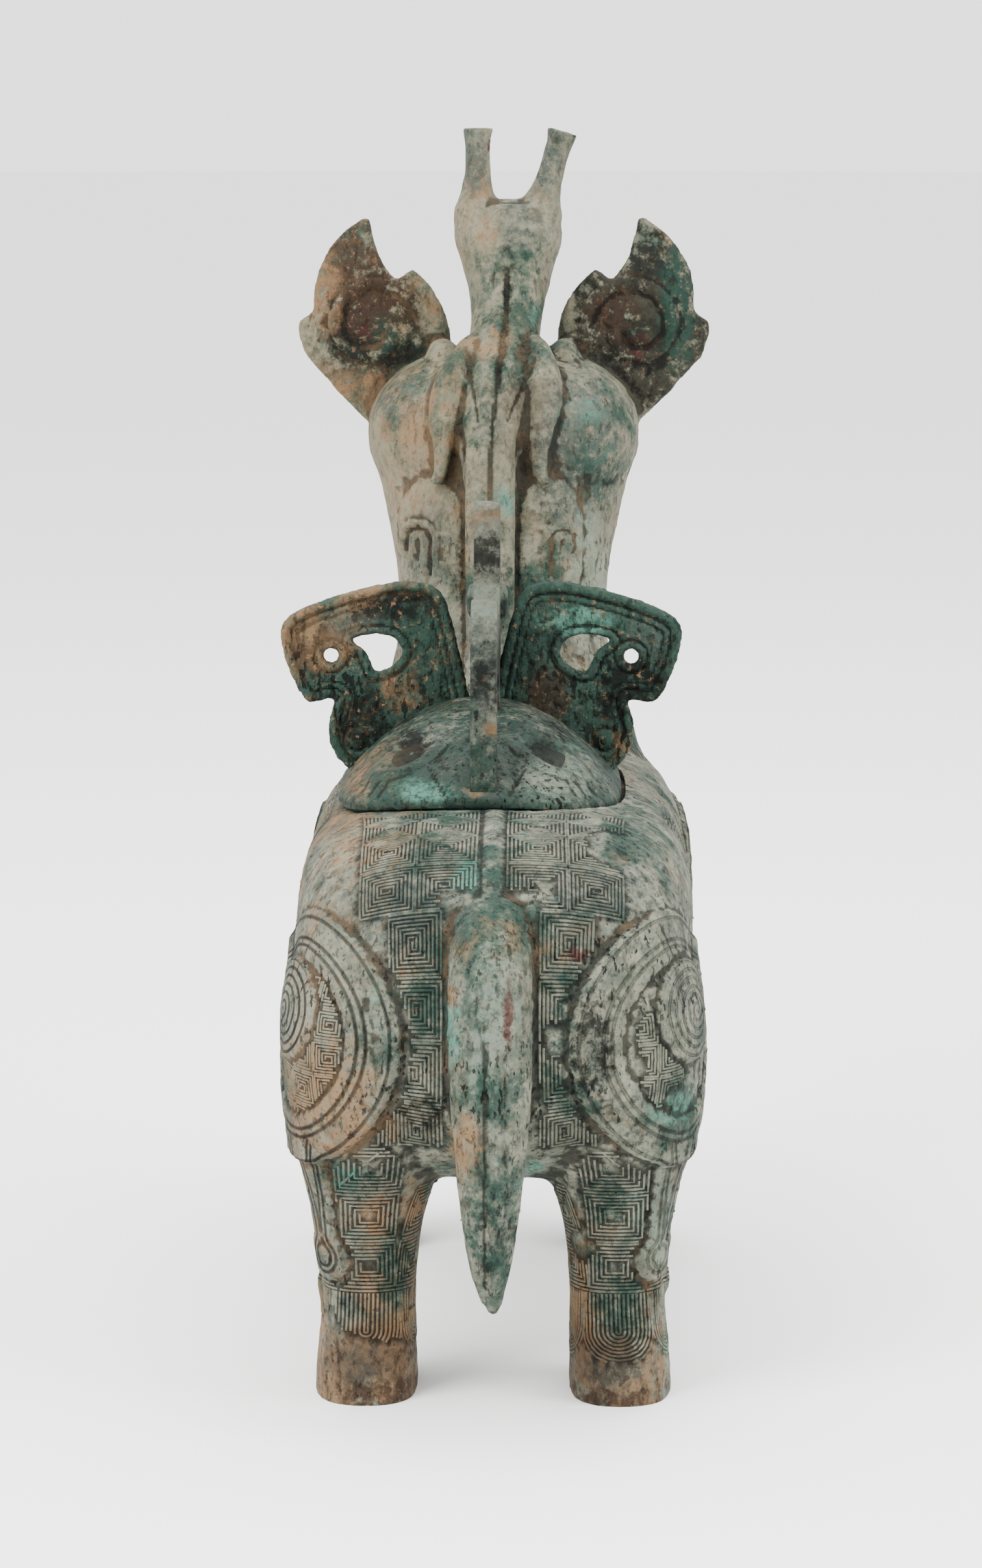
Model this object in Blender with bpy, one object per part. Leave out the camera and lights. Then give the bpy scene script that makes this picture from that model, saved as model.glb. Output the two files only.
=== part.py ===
"""A bronze zun, a wine vessel in the form of a standing animal, with its lid.

The animal faces +Y and stands on four hooves at z = 0.  A hollow trunk with an open
mouth on the back carries the neck, head, ears, tail and a small horned beast that
climbs the nape.  The domed lid is a mask with two openwork horn plates and a bird.
"""

import math

import bmesh
import bpy
import numpy as np
from mathutils import Vector

# Driving dimensions, in metres.
HEIGHT = 0.385  # from the ground to the tips of the small beast's horns
WALL = 0.0040  # bronze of the trunk, neck and head; chosen, no edge of it shows
LID_WALL = 0.0040
LID_GAP = 0.0003  # between the lid and the seat that it rests on
LID_SIDE_CLEARANCE = 0.0015  # around the lid's edge, where its seat is sunk
LID_CHAMFER = 0.0010  # under the lid's outer edge
FLANGE_DEPTH = 0.0090  # the ring under the lid that keeps it in the mouth
FLANGE_WALL = 0.0030
FLANGE_CLEARANCE = 0.0012
SEAT_LEDGE = 0.0075  # bronze between the mouth and the lid's edge
EAR_THICKNESS = 0.0040
HORN_PLATE_THICKNESS = 0.0048
BIRD_THICKNESS = 0.0084

# The figure's own form is given in units: one unit is HEIGHT over DRAWN_HEIGHT.
DRAWN_HEIGHT = 349.0
UNIT = HEIGHT / DRAWN_HEIGHT

VOXEL = 1.9 * UNIT  # grain of the merged form, before its faces are thinned out
BODY_FACES = 4300
CAVITY_FACES = 600
LID_FACES = 1000
WELD = 0.02 * UNIT  # points of one outline closer than this are one point

# Trunk: y, bottom, top, half width, squareness of its upper and its lower half.
TRUNK = [
    (-178, 96, 114, 10, 2.0, 2.0),
    (-174.5, 84, 130, 26, 2.2, 2.0),
    (-166, 74, 146, 40, 2.7, 2.3),
    (-151, 66, 156, 50, 3.3, 2.6),
    (-130, 62, 161, 54.5, 4.0, 2.8),
    (-100, 58, 161.5, 56, 4.6, 3.0),
    (-50, 55, 161.5, 56, 4.6, 2.8),
    (0, 55.5, 161.5, 56, 4.4, 2.8),
    (42, 61, 163, 56, 3.5, 2.9),
    (72, 67, 161, 55, 3.0, 2.6),
    (94, 78, 150, 45, 2.5, 2.3),
    (108, 94, 134, 28, 2.1, 2.1),
    (113, 107, 121, 10, 2.0, 2.0),
]
# Neck: y, z of its middle, half width, half depth, up a bent line.
NECK = [
    (50, 98, 49, 44),
    (56, 132, 49, 42),
    (61, 156, 43, 37),
    (65, 177, 36, 33),
    (68, 196, 32, 30.5),
    (71, 213, 33, 30),
    (75, 231, 36.5, 31),
    (80, 247, 40, 33),
    (85, 259, 41, 33),
]
# Head: y, z of its middle, half width, half height, out to the muzzle.
HEAD = [
    (46, 256, 8, 7),
    (50, 256, 25, 16),
    (60, 255, 37.5, 23.5),
    (78, 254, 42.5, 27.5),
    (98, 252, 40, 27.5),
    (118, 247, 33, 25),
    (138, 241.5, 26.5, 21.5),
    (158, 238, 23, 18.5),
    (173, 236, 21.5, 16.5),
    (180, 235.5, 16, 12),
    (183, 235, 6, 5),
]
# Legs: z, distance of the middle from the centre plane, y, half width, half depth.
HIND_LEG = [
    (140, 30, -124, 22, 36),
    (108, 32, -128, 25, 44),
    (84, 33, -130, 23.5, 40),
    (66, 34, -131, 18.8, 30),
    (50, 34.6, -133, 14.8, 20),
    (38, 34.5, -133, 13.2, 16.5),
    (26, 34.8, -131, 13, 16.5),
    (13, 35.4, -127, 13.8, 20),
    (2, 35.6, -124, 14.4, 23.5),
    (-4, 35.6, -124, 14.4, 23.5),
]
FORE_LEG = [
    (140, 31, 56, 21, 36),
    (108, 34, 60, 23, 41),
    (84, 37, 60, 20.5, 33),
    (66, 38.4, 59, 15.5, 24),
    (50, 38.8, 57, 13, 18),
    (38, 38.8, 57, 12, 15.5),
    (26, 38.8, 59, 11.8, 16),
    (13, 39, 63, 12.6, 19.5),
    (2, 39.2, 66, 13.2, 22.5),
    (-4, 39.2, 66, 13.2, 22.5),
]
# Tail: y, z of its middle, half width, half depth.
TAIL = [
    (-160, 138, 6, 5),
    (-168, 137, 9.8, 8.5),
    (-176, 126, 11.3, 9.8),
    (-179, 109, 11.4, 8.8),
    (-180.5, 90, 10.8, 8),
    (-181, 71, 9, 7),
    (-180.5, 54, 6.8, 5.8),
    (-180, 43.5, 4.6, 4.3),
    (-179.5, 35, 1.5, 1.7),
]
# The small beast on the nape: its tail and back, then its neck.
BEAST_BACK = [
    (38, 190, 6, 3),
    (40, 208, 6.3, 4.5),
    (42, 224, 6.8, 6),
    (45, 240, 8.5, 8.5),
    (49, 253, 10.5, 10.5),
    (55, 266, 12, 12),
    (63, 277, 11.5, 11.5),
    (72, 288, 10.8, 10.8),
    (79, 298, 12.5, 11),
    (83, 307, 13.5, 10),
]
# Its head, out to its muzzle: y, z of its middle, half width, half height.
BEAST_HEAD = [
    (67, 308, 5, 6),
    (70, 309, 12, 11.5),
    (78, 311.5, 17, 15.5),
    (88, 312, 16.5, 15),
    (98, 309, 11.5, 10.5),
    (108, 306.5, 8.5, 7.5),
    (117, 305.5, 7.8, 6.5),
    (121, 305.5, 4, 4),
]
BEAST_HORN = [(0, 6.4), (7, 4.7), (14, 3.9), (20, 4.1), (25, 4.8), (27, 5.2)]
BEAST_HORN_FOOT = (9.5, 81, 321)  # distance from the beast's own middle, y, z
BEAST_HORN_LEANS = {"left": 0.0, "right": 16.0}  # degrees outwards; one is bent
BEAST_SHIFT = 0.2  # its head stands this far right of the vessel's centre plane
BEAST_SHOULDER = ((15.5, 52, 267), (6.0, 12, 14))  # middle, half sizes
BEAST_PAW = ((19.0, 78, 277), (5.0, 13, 6))

# Haunch scrolls: the middle of the coil is where a ray from a point inside the body,
# "inside" from the centre plane, leaves it at "yaw" degrees forward of straight out.
# The scroll's edge lies "spread" degrees round that ray.
HAUNCHES = {
    "hind": {"middle": (-122, 107), "inside": 12, "yaw": -28.0, "spread": 40.0},
    "fore": {"middle": (56, 114), "inside": 12, "yaw": 6.0, "spread": 39.0},
}
HAUNCH_EDGE = 47.0  # the drawn radius of the scroll's edge
HAUNCH_WIDER = 1.09  # the scroll is wider than it is tall

# Plumes run from the haunches down the legs' outer rear sides and end in a round club.
# Each leg's middle there (x outwards, y), the club's z and radius, the shaft's half width
# at the club and where it leaves the haunch.
PLUMES = {
    "hind": {"leg": (34.5, -132), "faces": -42.0, "club": (43, 7.2), "shaft": (4.2, 11.0)},
    "fore": {"leg": (38.5, 58), "faces": -42.0, "club": (43, 6.6), "shaft": (3.8, 9.5)},
}
PLUME_TOP = 84.0

# Left ear seen from behind, x outwards and z: a leaf with a barb on each edge.
EAR = [
    (15, 268), (16.5, 281), (17, 287), (19, 293), (22, 298), (25.5, 301.8), (28.7, 304.3),
    (31, 302.7), (33.4, 300.2), (36, 303.6), (38.8, 308.5), (40.6, 314), (41.4, 319.6),
    (43.4, 320.6), (49.9, 316), (54.8, 310.3), (58, 304.1), (59.4, 297.5), (59.4, 290.7),
    (61.6, 289.3), (63.9, 288.8), (64.6, 285.5), (62.5, 277.9), (58, 272.6), (52, 265.8),
    (43.5, 257), (30, 254),
]
EAR_Y = 88
EAR_DISH = 4.0
EAR_MIDDLE = (41.0, 286.0, 0.0)
EAR_RADIUS = 27.0
EAR_CUTS = (-0.45, 0.05, 0.5)  # shares of the radius; where the leaf can bend

# Lid: its middle, half length, half width, squareness of its plan, dome height, lip.
LID_MIDDLE = (-5.0, -42.0)
LID_HALF_LENGTH = 62.0
LID_HALF_WIDTH = 41.0
LID_SQUARENESS = 3.5
LID_DOME = 21.0
LID_CURVE = 2.1
LID_LIP = 3.0
SEAT_Z = 161.0  # the seat at the middle of the lid
SEAT_SAG = 3.5  # how far it falls at the lid's side edges
SEAT_CUT = 60.0  # the seat is cut free this far upwards
MOUTH_CUT = 30.0  # the mouth is cut this far up and down from the seat

# Left horn plate seen from behind, x outwards and z, with its two openings.
HORN_PLATE = [
    (3, 176), (4, 186), (6.5, 198), (9.5, 210), (12.3, 216), (17, 218.2), (24, 218.6),
    (32, 217.2), (42.6, 214.4), (51.7, 211), (56.6, 208), (58.6, 204.5), (57.9, 198.5),
    (55.4, 191), (51.8, 184.6), (49.4, 183.4), (43, 184.2), (44.4, 178.5), (44.4, 172),
    (42.6, 167.8), (40.4, 165.2), (37, 163), (28, 167), (16, 172),
]
HORN_OPENING = [
    (38, 201.6), (34.9, 203), (30.3, 203.4), (26.2, 202.8), (23.6, 200.3), (23, 197.6),
    (24.6, 195), (27.9, 192.8), (31.2, 192.4), (32.6, 195.4), (34.2, 198.4),
]
HORN_EYE = (43.9, 197.0, 2.3)  # x, z, radius of the small round opening
HORN_Y = -34
# Two ridges on each horn: round its curl to the small opening, and in its lower lobe.
HORN_RIDGES = [
    [(9, 190), (13, 209), (21, 213.5), (33, 211.5), (45, 208.6), (53, 203.8), (52.5, 195),
     (48, 189.6), (41.5, 189.6)],
    [(16, 177.2), (25, 178.2), (34, 180.4), (39.8, 177.4), (40, 171.6), (36.2, 168.8)],
]
HORN_RIDGE_PROUD = 0.0007

BIRD_X = -3.2
# Bird on the lid, seen from the side: y and z.
BIRD = [
    (-103, 164.5), (-102, 177), (-100, 192), (-97, 206), (-92, 214.5), (-85, 218.5),
    (-76, 217.5), (-68, 213), (-60, 209), (-52, 208.5), (-46, 213), (-43.5, 222),
    (-42, 233), (-38.5, 240), (-34.5, 242.6), (-30.5, 240.5), (-28.5, 233), (-27, 225),
    (-21, 220), (-12, 216.5), (-5.5, 210.5), (-4.5, 204.5), (-11, 207.5), (-18, 206),
    (-22, 200), (-24, 193.5), (-29, 189), (-31, 180), (-54, 180), (-59, 190),
    (-67, 197), (-76, 203), (-84, 205), (-88.5, 200), (-91.5, 189), (-92.5, 178),
    (-92, 168),
]
BIRD_EYE = (-29, 212.5, 5.2)  # y, z, radius of the boss
BIRD_EYE_PROUD = 2.2

# The mask on the lid, seen from behind and a little above: x outwards, and z that
# grows by MASK_TILT with y.
MASK_TILT = 0.14
MASK_EYE = (20.0, 163.8)
MASK_EYE_SIZE = (7.2, 3.0)
MASK_EYE_SLANT = 25.0  # degrees; the inner ends are the higher ones


def metres(table):
    """A table of numbers in units, as metres."""
    return np.array(table, float) * UNIT


def smooth_path(rows, steps=5):
    """More rows between the given ones, on a Catmull-Rom curve."""
    rows = np.array(rows, float)
    padded = np.vstack([2 * rows[0] - rows[1], rows, 2 * rows[-1] - rows[-2]])
    found = []
    for before, start, end, after in zip(padded, padded[1:], padded[2:], padded[3:]):
        for step in range(steps):
            t = step / steps
            found.append(
                0.5
                * (
                    2 * start
                    + (end - before) * t
                    + (2 * before - 5 * start + 4 * end - after) * t**2
                    + (3 * start - before - 3 * end + after) * t**3
                )
            )
    return np.array([*found, rows[-1]])


def superellipse(half_u, half_v, power, count, lower_power=None):
    """Points of a closed rounded outline, as two arrays."""
    turn = np.arange(count) * 2 * math.pi / count
    cos, sin = np.cos(turn), np.sin(turn)
    if lower_power:
        power = np.where(sin < 0, lower_power, power)
    u = half_u * np.sign(cos) * np.abs(cos) ** (2 / power)
    v = half_v * np.sign(sin) * np.abs(sin) ** (2 / power)
    return u, v


def mesh_from_rings(name, rings, poles=(None, None)):
    """A closed mesh through rings of equal count, ended by flat caps or by poles."""
    made = bmesh.new()
    rows = [[made.verts.new(point) for point in ring] for ring in rings]
    for row, following in zip(rows, rows[1:]):
        for k in range(len(row)):
            near = (k + 1) % len(row)
            made.faces.new((row[k], row[near], following[near], following[k]))
    for row, pole in ((rows[0], poles[0]), (rows[-1], poles[1])):
        if pole is None:
            made.faces.new(row)
            continue
        tip = made.verts.new(pole)
        for k in range(len(row)):
            made.faces.new((row[k], row[(k + 1) % len(row)], tip))
    bmesh.ops.recalc_face_normals(made, faces=made.faces)
    mesh = bpy.data.meshes.new(name)
    made.to_mesh(mesh)
    made.free()
    return mesh


def add_object(name, mesh):
    obj = bpy.data.objects.new(name, mesh)
    bpy.context.scene.collection.objects.link(obj)
    return obj


def hide_helper(obj):
    obj.hide_render = True
    obj.display_type = "WIRE"
    return obj


def tube(name, rows, inset=0.0, power=2.2, count=28):
    """A closed tube along a bent line in a plane of constant x.

    Each row is x, y, z, half width along X and half depth across the line.
    """
    rows = smooth_path(metres(rows))
    middles = rows[:, :3]
    tangents = np.gradient(middles, axis=0)
    tangents[:, 0] = 0
    tangents /= np.linalg.norm(tangents, axis=1)[:, None]
    depth_axis = np.cross(tangents, [1.0, 0.0, 0.0])
    rings = []
    for middle, across, row in zip(middles, depth_axis, rows):
        u, v = superellipse(
            max(row[3] - inset, UNIT), max(row[4] - inset, UNIT), power, count
        )
        ring = middle + np.outer(v, across)
        ring[:, 0] += u
        rings.append(ring)
    return add_object(name, mesh_from_rings(name, rings))


def trunk(name, inset=0.0, count=44):
    """The barrel of the body, from rump to chest."""
    rows = smooth_path(TRUNK)
    first, last = rows[0, 0], rows[-1, 0]
    span = (last - first) * UNIT
    rings = []
    for y, bottom, top, half_width, upper, lower in rows:
        share = 1 - 2 * inset / span
        middle_y = (first + last) / 2 * UNIT
        u, v = superellipse(
            max(half_width * UNIT - inset, UNIT),
            max((top - bottom) / 2 * UNIT - inset, UNIT),
            upper,
            count,
            lower,
        )
        along = np.full(count, middle_y + (y * UNIT - middle_y) * share)
        rings.append(np.column_stack([u, along, v + (top + bottom) / 2 * UNIT]))
    return add_object(name, mesh_from_rings(name, rings))


def leg(name, table, side):
    rows = [
        (side * x, y, z, half_width, half_depth)
        for z, x, y, half_width, half_depth in table
    ]
    return tube(name, rows, power=2.4)


def centred(table):
    """Rows of y, z and two half sizes, given an x of nought."""
    return [(0, *row) for row in table]


def ball(name, middle, half_sizes):
    made = bmesh.new()
    bmesh.ops.create_uvsphere(made, u_segments=24, v_segments=14, radius=1.0)
    bmesh.ops.scale(made, vec=Vector(half_sizes) * UNIT, verts=made.verts)
    bmesh.ops.translate(made, vec=Vector(middle) * UNIT, verts=made.verts)
    mesh = bpy.data.meshes.new(name)
    made.to_mesh(mesh)
    made.free()
    return add_object(name, mesh)


def evaluated_mesh(obj):
    bpy.context.view_layer.update()
    graph = bpy.context.evaluated_depsgraph_get()
    return bpy.data.meshes.new_from_object(obj.evaluated_get(graph))


def merged(name, pieces, voxel, smoothings):
    """One closed skin over overlapping pieces, which are used up."""
    host = bmesh.new()
    for piece in pieces:
        host.from_mesh(piece.data)
        bpy.data.objects.remove(piece)
    mesh = bpy.data.meshes.new(name)
    host.to_mesh(mesh)
    host.free()
    obj = add_object(name, mesh)
    remesh = obj.modifiers.new("one skin", "REMESH")
    remesh.mode = "VOXEL"
    remesh.voxel_size = voxel
    if smoothings:
        smooth = obj.modifiers.new("soft joins", "SMOOTH")
        smooth.factor = 0.5
        smooth.iterations = smoothings
    skin = evaluated_mesh(obj)
    bpy.data.objects.remove(obj)
    return add_object(name, skin)


def thinned(obj, faces):
    """Keeps the form with about this many triangles."""
    obj.data.calc_loop_triangles()
    thin = obj.modifiers.new("fewer faces", "DECIMATE")
    thin.ratio = min(1.0, faces / len(obj.data.loop_triangles))
    mesh = evaluated_mesh(obj)
    obj.modifiers.remove(thin)
    obj.data = mesh
    return obj


def read_points(mesh):
    points = np.empty(len(mesh.vertices) * 3)
    normals = np.empty(len(mesh.vertices) * 3)
    mesh.vertices.foreach_get("co", points)
    mesh.vertices.foreach_get("normal", normals)
    return points.reshape(-1, 3), normals.reshape(-1, 3)


def raise_surface(obj, height):
    """Moves each point along its normal by height(points), which is in metres."""
    points, normals = read_points(obj.data)
    moved = points + normals * height(points)[:, None]
    obj.data.vertices.foreach_set("co", moved.ravel())
    obj.data.update()


def step(value, low, high):
    """A soft step from 0 at low to 1 at high."""
    t = np.clip((value - low) / (high - low), 0, 1)
    return t * t * (3 - 2 * t)


def stripe(value, middle, half, soft):
    """1 inside a stripe and 0 outside it, with soft edges."""
    return 1 - step(np.abs(value - middle), half - soft, half + soft)


def haunch_relief(p, spec):
    """Height, in units, of the scroll on a haunch: an outer hooked band and a coil."""
    y, z = spec["middle"]
    yaw = math.radians(spec["yaw"])
    away = np.column_stack([np.abs(p[:, 0]) - spec["inside"], p[:, 1] - y, p[:, 2] - z])
    out = np.array([math.cos(yaw), math.sin(yaw), 0.0])
    ahead = np.array([-math.sin(yaw), math.cos(yaw), 0.0])
    angle = np.arccos(np.clip(away @ out / np.linalg.norm(away, axis=1), -1, 1))
    u, v = away @ ahead, away[:, 2]
    flat = np.maximum(np.hypot(u, v), 1e-9)
    r = angle / math.radians(spec["spread"]) * HAUNCH_EDGE
    u, v = u / flat * r / HAUNCH_WIDER, v / flat * r * HAUNCH_WIDER
    r = np.hypot(u, v)
    turn = np.degrees(np.arctan2(v, -u)) % 360  # 0 towards the tail, 90 upwards
    band = stripe(r, 37.5, 8.0, 1.2)
    starts = step(turn, 74, 80) * (1 - step(turn, 118, 128))
    band *= 1 - starts
    coil_r = np.hypot(u - 2, v - 9)
    coil_turn = np.arctan2(v - 9, u - 2) / (2 * math.pi)
    coil = 1 - step(coil_r, 18.5, 20.5)
    groove = np.cos(2 * math.pi * (coil_r / 6.0 - coil_turn)) * coil
    disc = 1 - step(r, HAUNCH_EDGE - 2.5, HAUNCH_EDGE + 0.5)
    return 1.0 * disc + 1.3 * band + 1.4 * coil + 0.6 * groove


def plume_relief(p, spec):
    """1 on the plume of a leg and 0 beside it."""
    x, y = spec["leg"]
    faces = math.radians(spec["faces"])
    away = np.column_stack([np.abs(p[:, 0]) - x, p[:, 1] - y])
    facing = away @ [math.cos(faces), math.sin(faces)]
    across = away @ [-math.sin(faces), math.cos(faces)]
    club_z, club = spec["club"]
    narrow, wide = spec["shaft"]
    share = np.clip((p[:, 2] - club_z) / (PLUME_TOP - club_z), 0, 1)
    shaft = np.abs(across + 2 * share) - (narrow + (wide - narrow) * share**2)
    shaft = np.maximum(shaft, club_z - p[:, 2])
    inside = np.minimum(shaft, np.hypot(across, p[:, 2] - club_z) - club)
    low_enough = 1 - step(p[:, 2], PLUME_TOP, PLUME_TOP + 4)
    return (1 - step(inside, -0.6, 0.9)) * step(facing, 2, 5) * low_enough


def body_relief(points):
    """The carving of the body that shows from a step away, in metres."""
    p = points / UNIT
    x, y, z = p[:, 0], p[:, 1], p[:, 2]
    side = np.abs(x)
    hind, fore = (haunch_relief(p, HAUNCHES[name]) for name in ("hind", "fore"))
    on_trunk = step(z, 60, 66) * (1 - step(z, 152, 157)) * step(side, 12, 17)
    total = hind * on_trunk * (1 - step(y, -84, -76))
    total += fore * on_trunk * step(y, 8, 16)
    on_hind_leg = 1 - step(y, -90, -80)
    total += 1.5 * plume_relief(p, PLUMES["hind"]) * on_hind_leg
    total += 1.4 * plume_relief(p, PLUMES["fore"]) * step(y, 20, 28)
    # A plain ridge runs from the lid to the root of the tail.
    total += 0.9 * stripe(x, 0, 3.6, 1.2) * step(z, 126, 136) * (1 - step(y, -110, -104))
    # The small beast's hind haunches, on the nape.
    haunch = np.hypot((side - 21.5) / 10.5, (z - 229) / 20)
    nape = (1 - step(y, 60, 68)) * step(z, 190, 196) * (1 - step(z, 250, 256))
    total += 2.0 * (1 - step(haunch, 0.84, 1.0)) * nape
    total -= 0.9 * stripe(haunch, 0.6, 0.09, 0.05) * nape
    # Eyes, nostrils and the mouth line on the head.
    on_head = step(y, 106, 110) * step(z, 226, 230)
    eye = np.hypot((y - 122) / 9.5, (z - 252) / 6.2)
    total += on_head * (3.0 * (1 - step(eye, 0.7, 1.0)) - stripe(eye, 1.2, 0.14, 0.1))
    mouth = stripe(z - 0.06 * (y - 155), 229.0, 1.1, 0.7) * step(y, 140, 146)
    total -= 1.6 * mouth
    nostril = np.hypot(side - 8.5, (z - 242) * 1.2)
    total -= 1.8 * (1 - step(nostril, 2.2, 4.0)) * step(y, 172, 176)
    return total * UNIT


def vessel_form():
    """The animal's outer form with the small beast on its nape, in one skin."""
    pieces = [trunk("trunk"), tube("neck", centred(NECK)), tube("head", centred(HEAD))]
    for side in (-1, 1):
        pieces.append(leg("hind leg", HIND_LEG, side))
        pieces.append(leg("fore leg", FORE_LEG, side))
    core = merged("core", pieces, VOXEL, 14)
    raise_surface(core, body_relief)
    details = [core, tube("tail", centred(TAIL), power=1.7)]
    details.append(tube("beast back", centred(BEAST_BACK), power=2.2))
    details.append(
        tube("beast head", [(BEAST_SHIFT, *row) for row in BEAST_HEAD], power=2.1)
    )
    for side, name in ((-1, "left"), (1, "right")):
        details.append(beast_horn(side, BEAST_HORN_LEANS[name]))
        for (x, y, z), half_sizes in (BEAST_SHOULDER, BEAST_PAW):
            details.append(ball("beast limb", (side * x, y, z), half_sizes))
    return thinned(merged("vessel", details, VOXEL, 2), BODY_FACES)


def beast_horn(side, lean):
    """A bottle-shaped horn: a narrow neck that flares to a flat end."""
    foot_x, foot_y, foot_z = BEAST_HORN_FOOT
    tilt = math.radians(lean)
    foot = Vector((BEAST_SHIFT + side * foot_x, foot_y, foot_z))
    along = Vector((side * math.sin(tilt), 0, math.cos(tilt)))
    across = Vector((math.cos(tilt), 0, -side * math.sin(tilt)))
    rings = []
    for distance, radius in smooth_path([(-8, 5.6), *BEAST_HORN], steps=3):
        u, v = superellipse(radius, radius, 2, 18)
        middle = foot + along * distance
        rings.append(
            [(middle + across * a + Vector((0, b, 0))) * UNIT for a, b in zip(u, v)]
        )
    return add_object("beast horn", mesh_from_rings("beast horn", rings))


def face_outwards(made):
    made.normal_update()
    bmesh.ops.recalc_face_normals(made, faces=made.faces)


def plate_mesh(name, outlines, half_thickness):
    """A flat plate in the X-Y plane of a 2-D curve, with the inner outlines as holes."""
    curve = bpy.data.curves.new(name, "CURVE")
    curve.dimensions = "2D"
    curve.fill_mode = "BOTH"
    curve.extrude = half_thickness
    for outline in outlines:
        spline = curve.splines.new("POLY")
        spline.points.add(len(outline) - 1)
        for point, (u, v) in zip(spline.points, outline):
            point.co = (u * UNIT, v * UNIT, 0, 1)
        spline.use_cyclic_u = True
    helper = add_object(name, curve)
    mesh = evaluated_mesh(helper)
    bpy.data.objects.remove(helper)
    made = bmesh.new()
    made.from_mesh(mesh)
    bmesh.ops.remove_doubles(made, verts=made.verts, dist=WELD)
    face_outwards(made)
    return made


def stand_up(made, side, middle_x, middle_y):
    """Turns a plate from the X-Y plane to face along Y, on the given side."""
    for vert in made.verts:
        u, v, w = vert.co
        vert.co = (middle_x * UNIT + side * u, middle_y * UNIT + w, v)
    face_outwards(made)


def finish_helper(name, made):
    mesh = bpy.data.meshes.new(name)
    made.to_mesh(mesh)
    made.free()
    return hide_helper(add_object(name, mesh))


def ear(side):
    """A leaf-shaped ear, dished forwards."""
    made = plate_mesh("ear", [EAR], EAR_THICKNESS / 2)
    middle, radius = Vector(EAR_MIDDLE) * UNIT, EAR_RADIUS * UNIT
    for share in EAR_CUTS:
        for axis in (Vector((1, 0, 0)), Vector((0, 1, 0))):
            bmesh.ops.bisect_plane(
                made,
                geom=made.verts[:] + made.edges[:] + made.faces[:],
                plane_co=middle + axis * radius * share,
                plane_no=axis,
            )
    for vert in made.verts:
        away = min(1.0, (vert.co.xy - middle.xy).length / radius)
        vert.co.z -= EAR_DISH * UNIT * (1 - away**2)
    stand_up(made, side, 0, EAR_Y)
    return finish_helper(f"ear {side}", made)


def ridge(name, line, side):
    """A rounded ridge that shows on both faces of a horn plate."""
    points = smooth_path(line, steps=2)
    curve = bpy.data.curves.new(name, "CURVE")
    curve.dimensions = "3D"
    curve.bevel_depth = HORN_PLATE_THICKNESS / 2 + HORN_RIDGE_PROUD
    curve.bevel_resolution = 1
    curve.use_fill_caps = True
    spline = curve.splines.new("POLY")
    spline.points.add(len(points) - 1)
    for point, (x, z) in zip(spline.points, points):
        across = (LID_MIDDLE[0] + side * x) * UNIT
        point.co = (across, HORN_Y * UNIT, z * UNIT, 1)
    helper = add_object(name, curve)
    made = bmesh.new()
    made.from_mesh(evaluated_mesh(helper))
    bpy.data.objects.remove(helper)
    bmesh.ops.remove_doubles(made, verts=made.verts, dist=WELD)
    face_outwards(made)
    return finish_helper(name, made)


def horn_plate(side):
    """An openwork horn of the lid's mask."""
    x, z, radius = HORN_EYE
    u, v = superellipse(radius, radius, 2, 10)
    eye = list(zip(u + x, v + z))
    made = plate_mesh("horn", [HORN_PLATE, HORN_OPENING, eye], HORN_PLATE_THICKNESS / 2)
    stand_up(made, side, LID_MIDDLE[0], HORN_Y)
    return finish_helper(f"horn plate {side}", made)


def bird():
    """A flat-sided bird that stands on the lid, its tail hanging to the rear edge."""
    made = plate_mesh("bird", [BIRD], BIRD_THICKNESS / 2)
    for vert in made.verts:
        y, z, x = vert.co
        vert.co = (BIRD_X * UNIT + x, y, z)
    face_outwards(made)
    return finish_helper("bird", made)


def bird_eyes():
    y, z, radius = BIRD_EYE
    half = BIRD_THICKNESS / 2 + BIRD_EYE_PROUD * UNIT
    rings = []
    for share, width in ((-1, 0.55), (-0.8, 1), (0.8, 1), (1, 0.55)):
        u, v = superellipse(radius * width, radius * width, 2, 14)
        x = BIRD_X * UNIT + half * share
        rings.append([(x, (y + a) * UNIT, (z + b) * UNIT) for a, b in zip(u, v)])
    return hide_helper(add_object("bird eyes", mesh_from_rings("bird eyes", rings)))


def seat_height(x):
    """The arched seat of the lid, in metres, over x in metres."""
    share = (x - LID_MIDDLE[0] * UNIT) / (LID_HALF_WIDTH * UNIT)
    return SEAT_Z * UNIT - SEAT_SAG * UNIT * np.clip(share, -1.2, 1.2) ** 2


def lid_outline(offset, count, scale=1.0):
    """The lid's plan, moved inwards by offset in metres."""
    u, v = superellipse(
        LID_HALF_WIDTH * UNIT - offset,
        LID_HALF_LENGTH * UNIT - offset,
        LID_SQUARENESS,
        count,
    )
    return (u * scale + LID_MIDDLE[0] * UNIT, v * scale + LID_MIDDLE[1] * UNIT)


def lid_ring(offset, rise, count, scale=1.0):
    u, v = lid_outline(offset, count, scale)
    return np.column_stack([u, v, seat_height(u) + rise])


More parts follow.
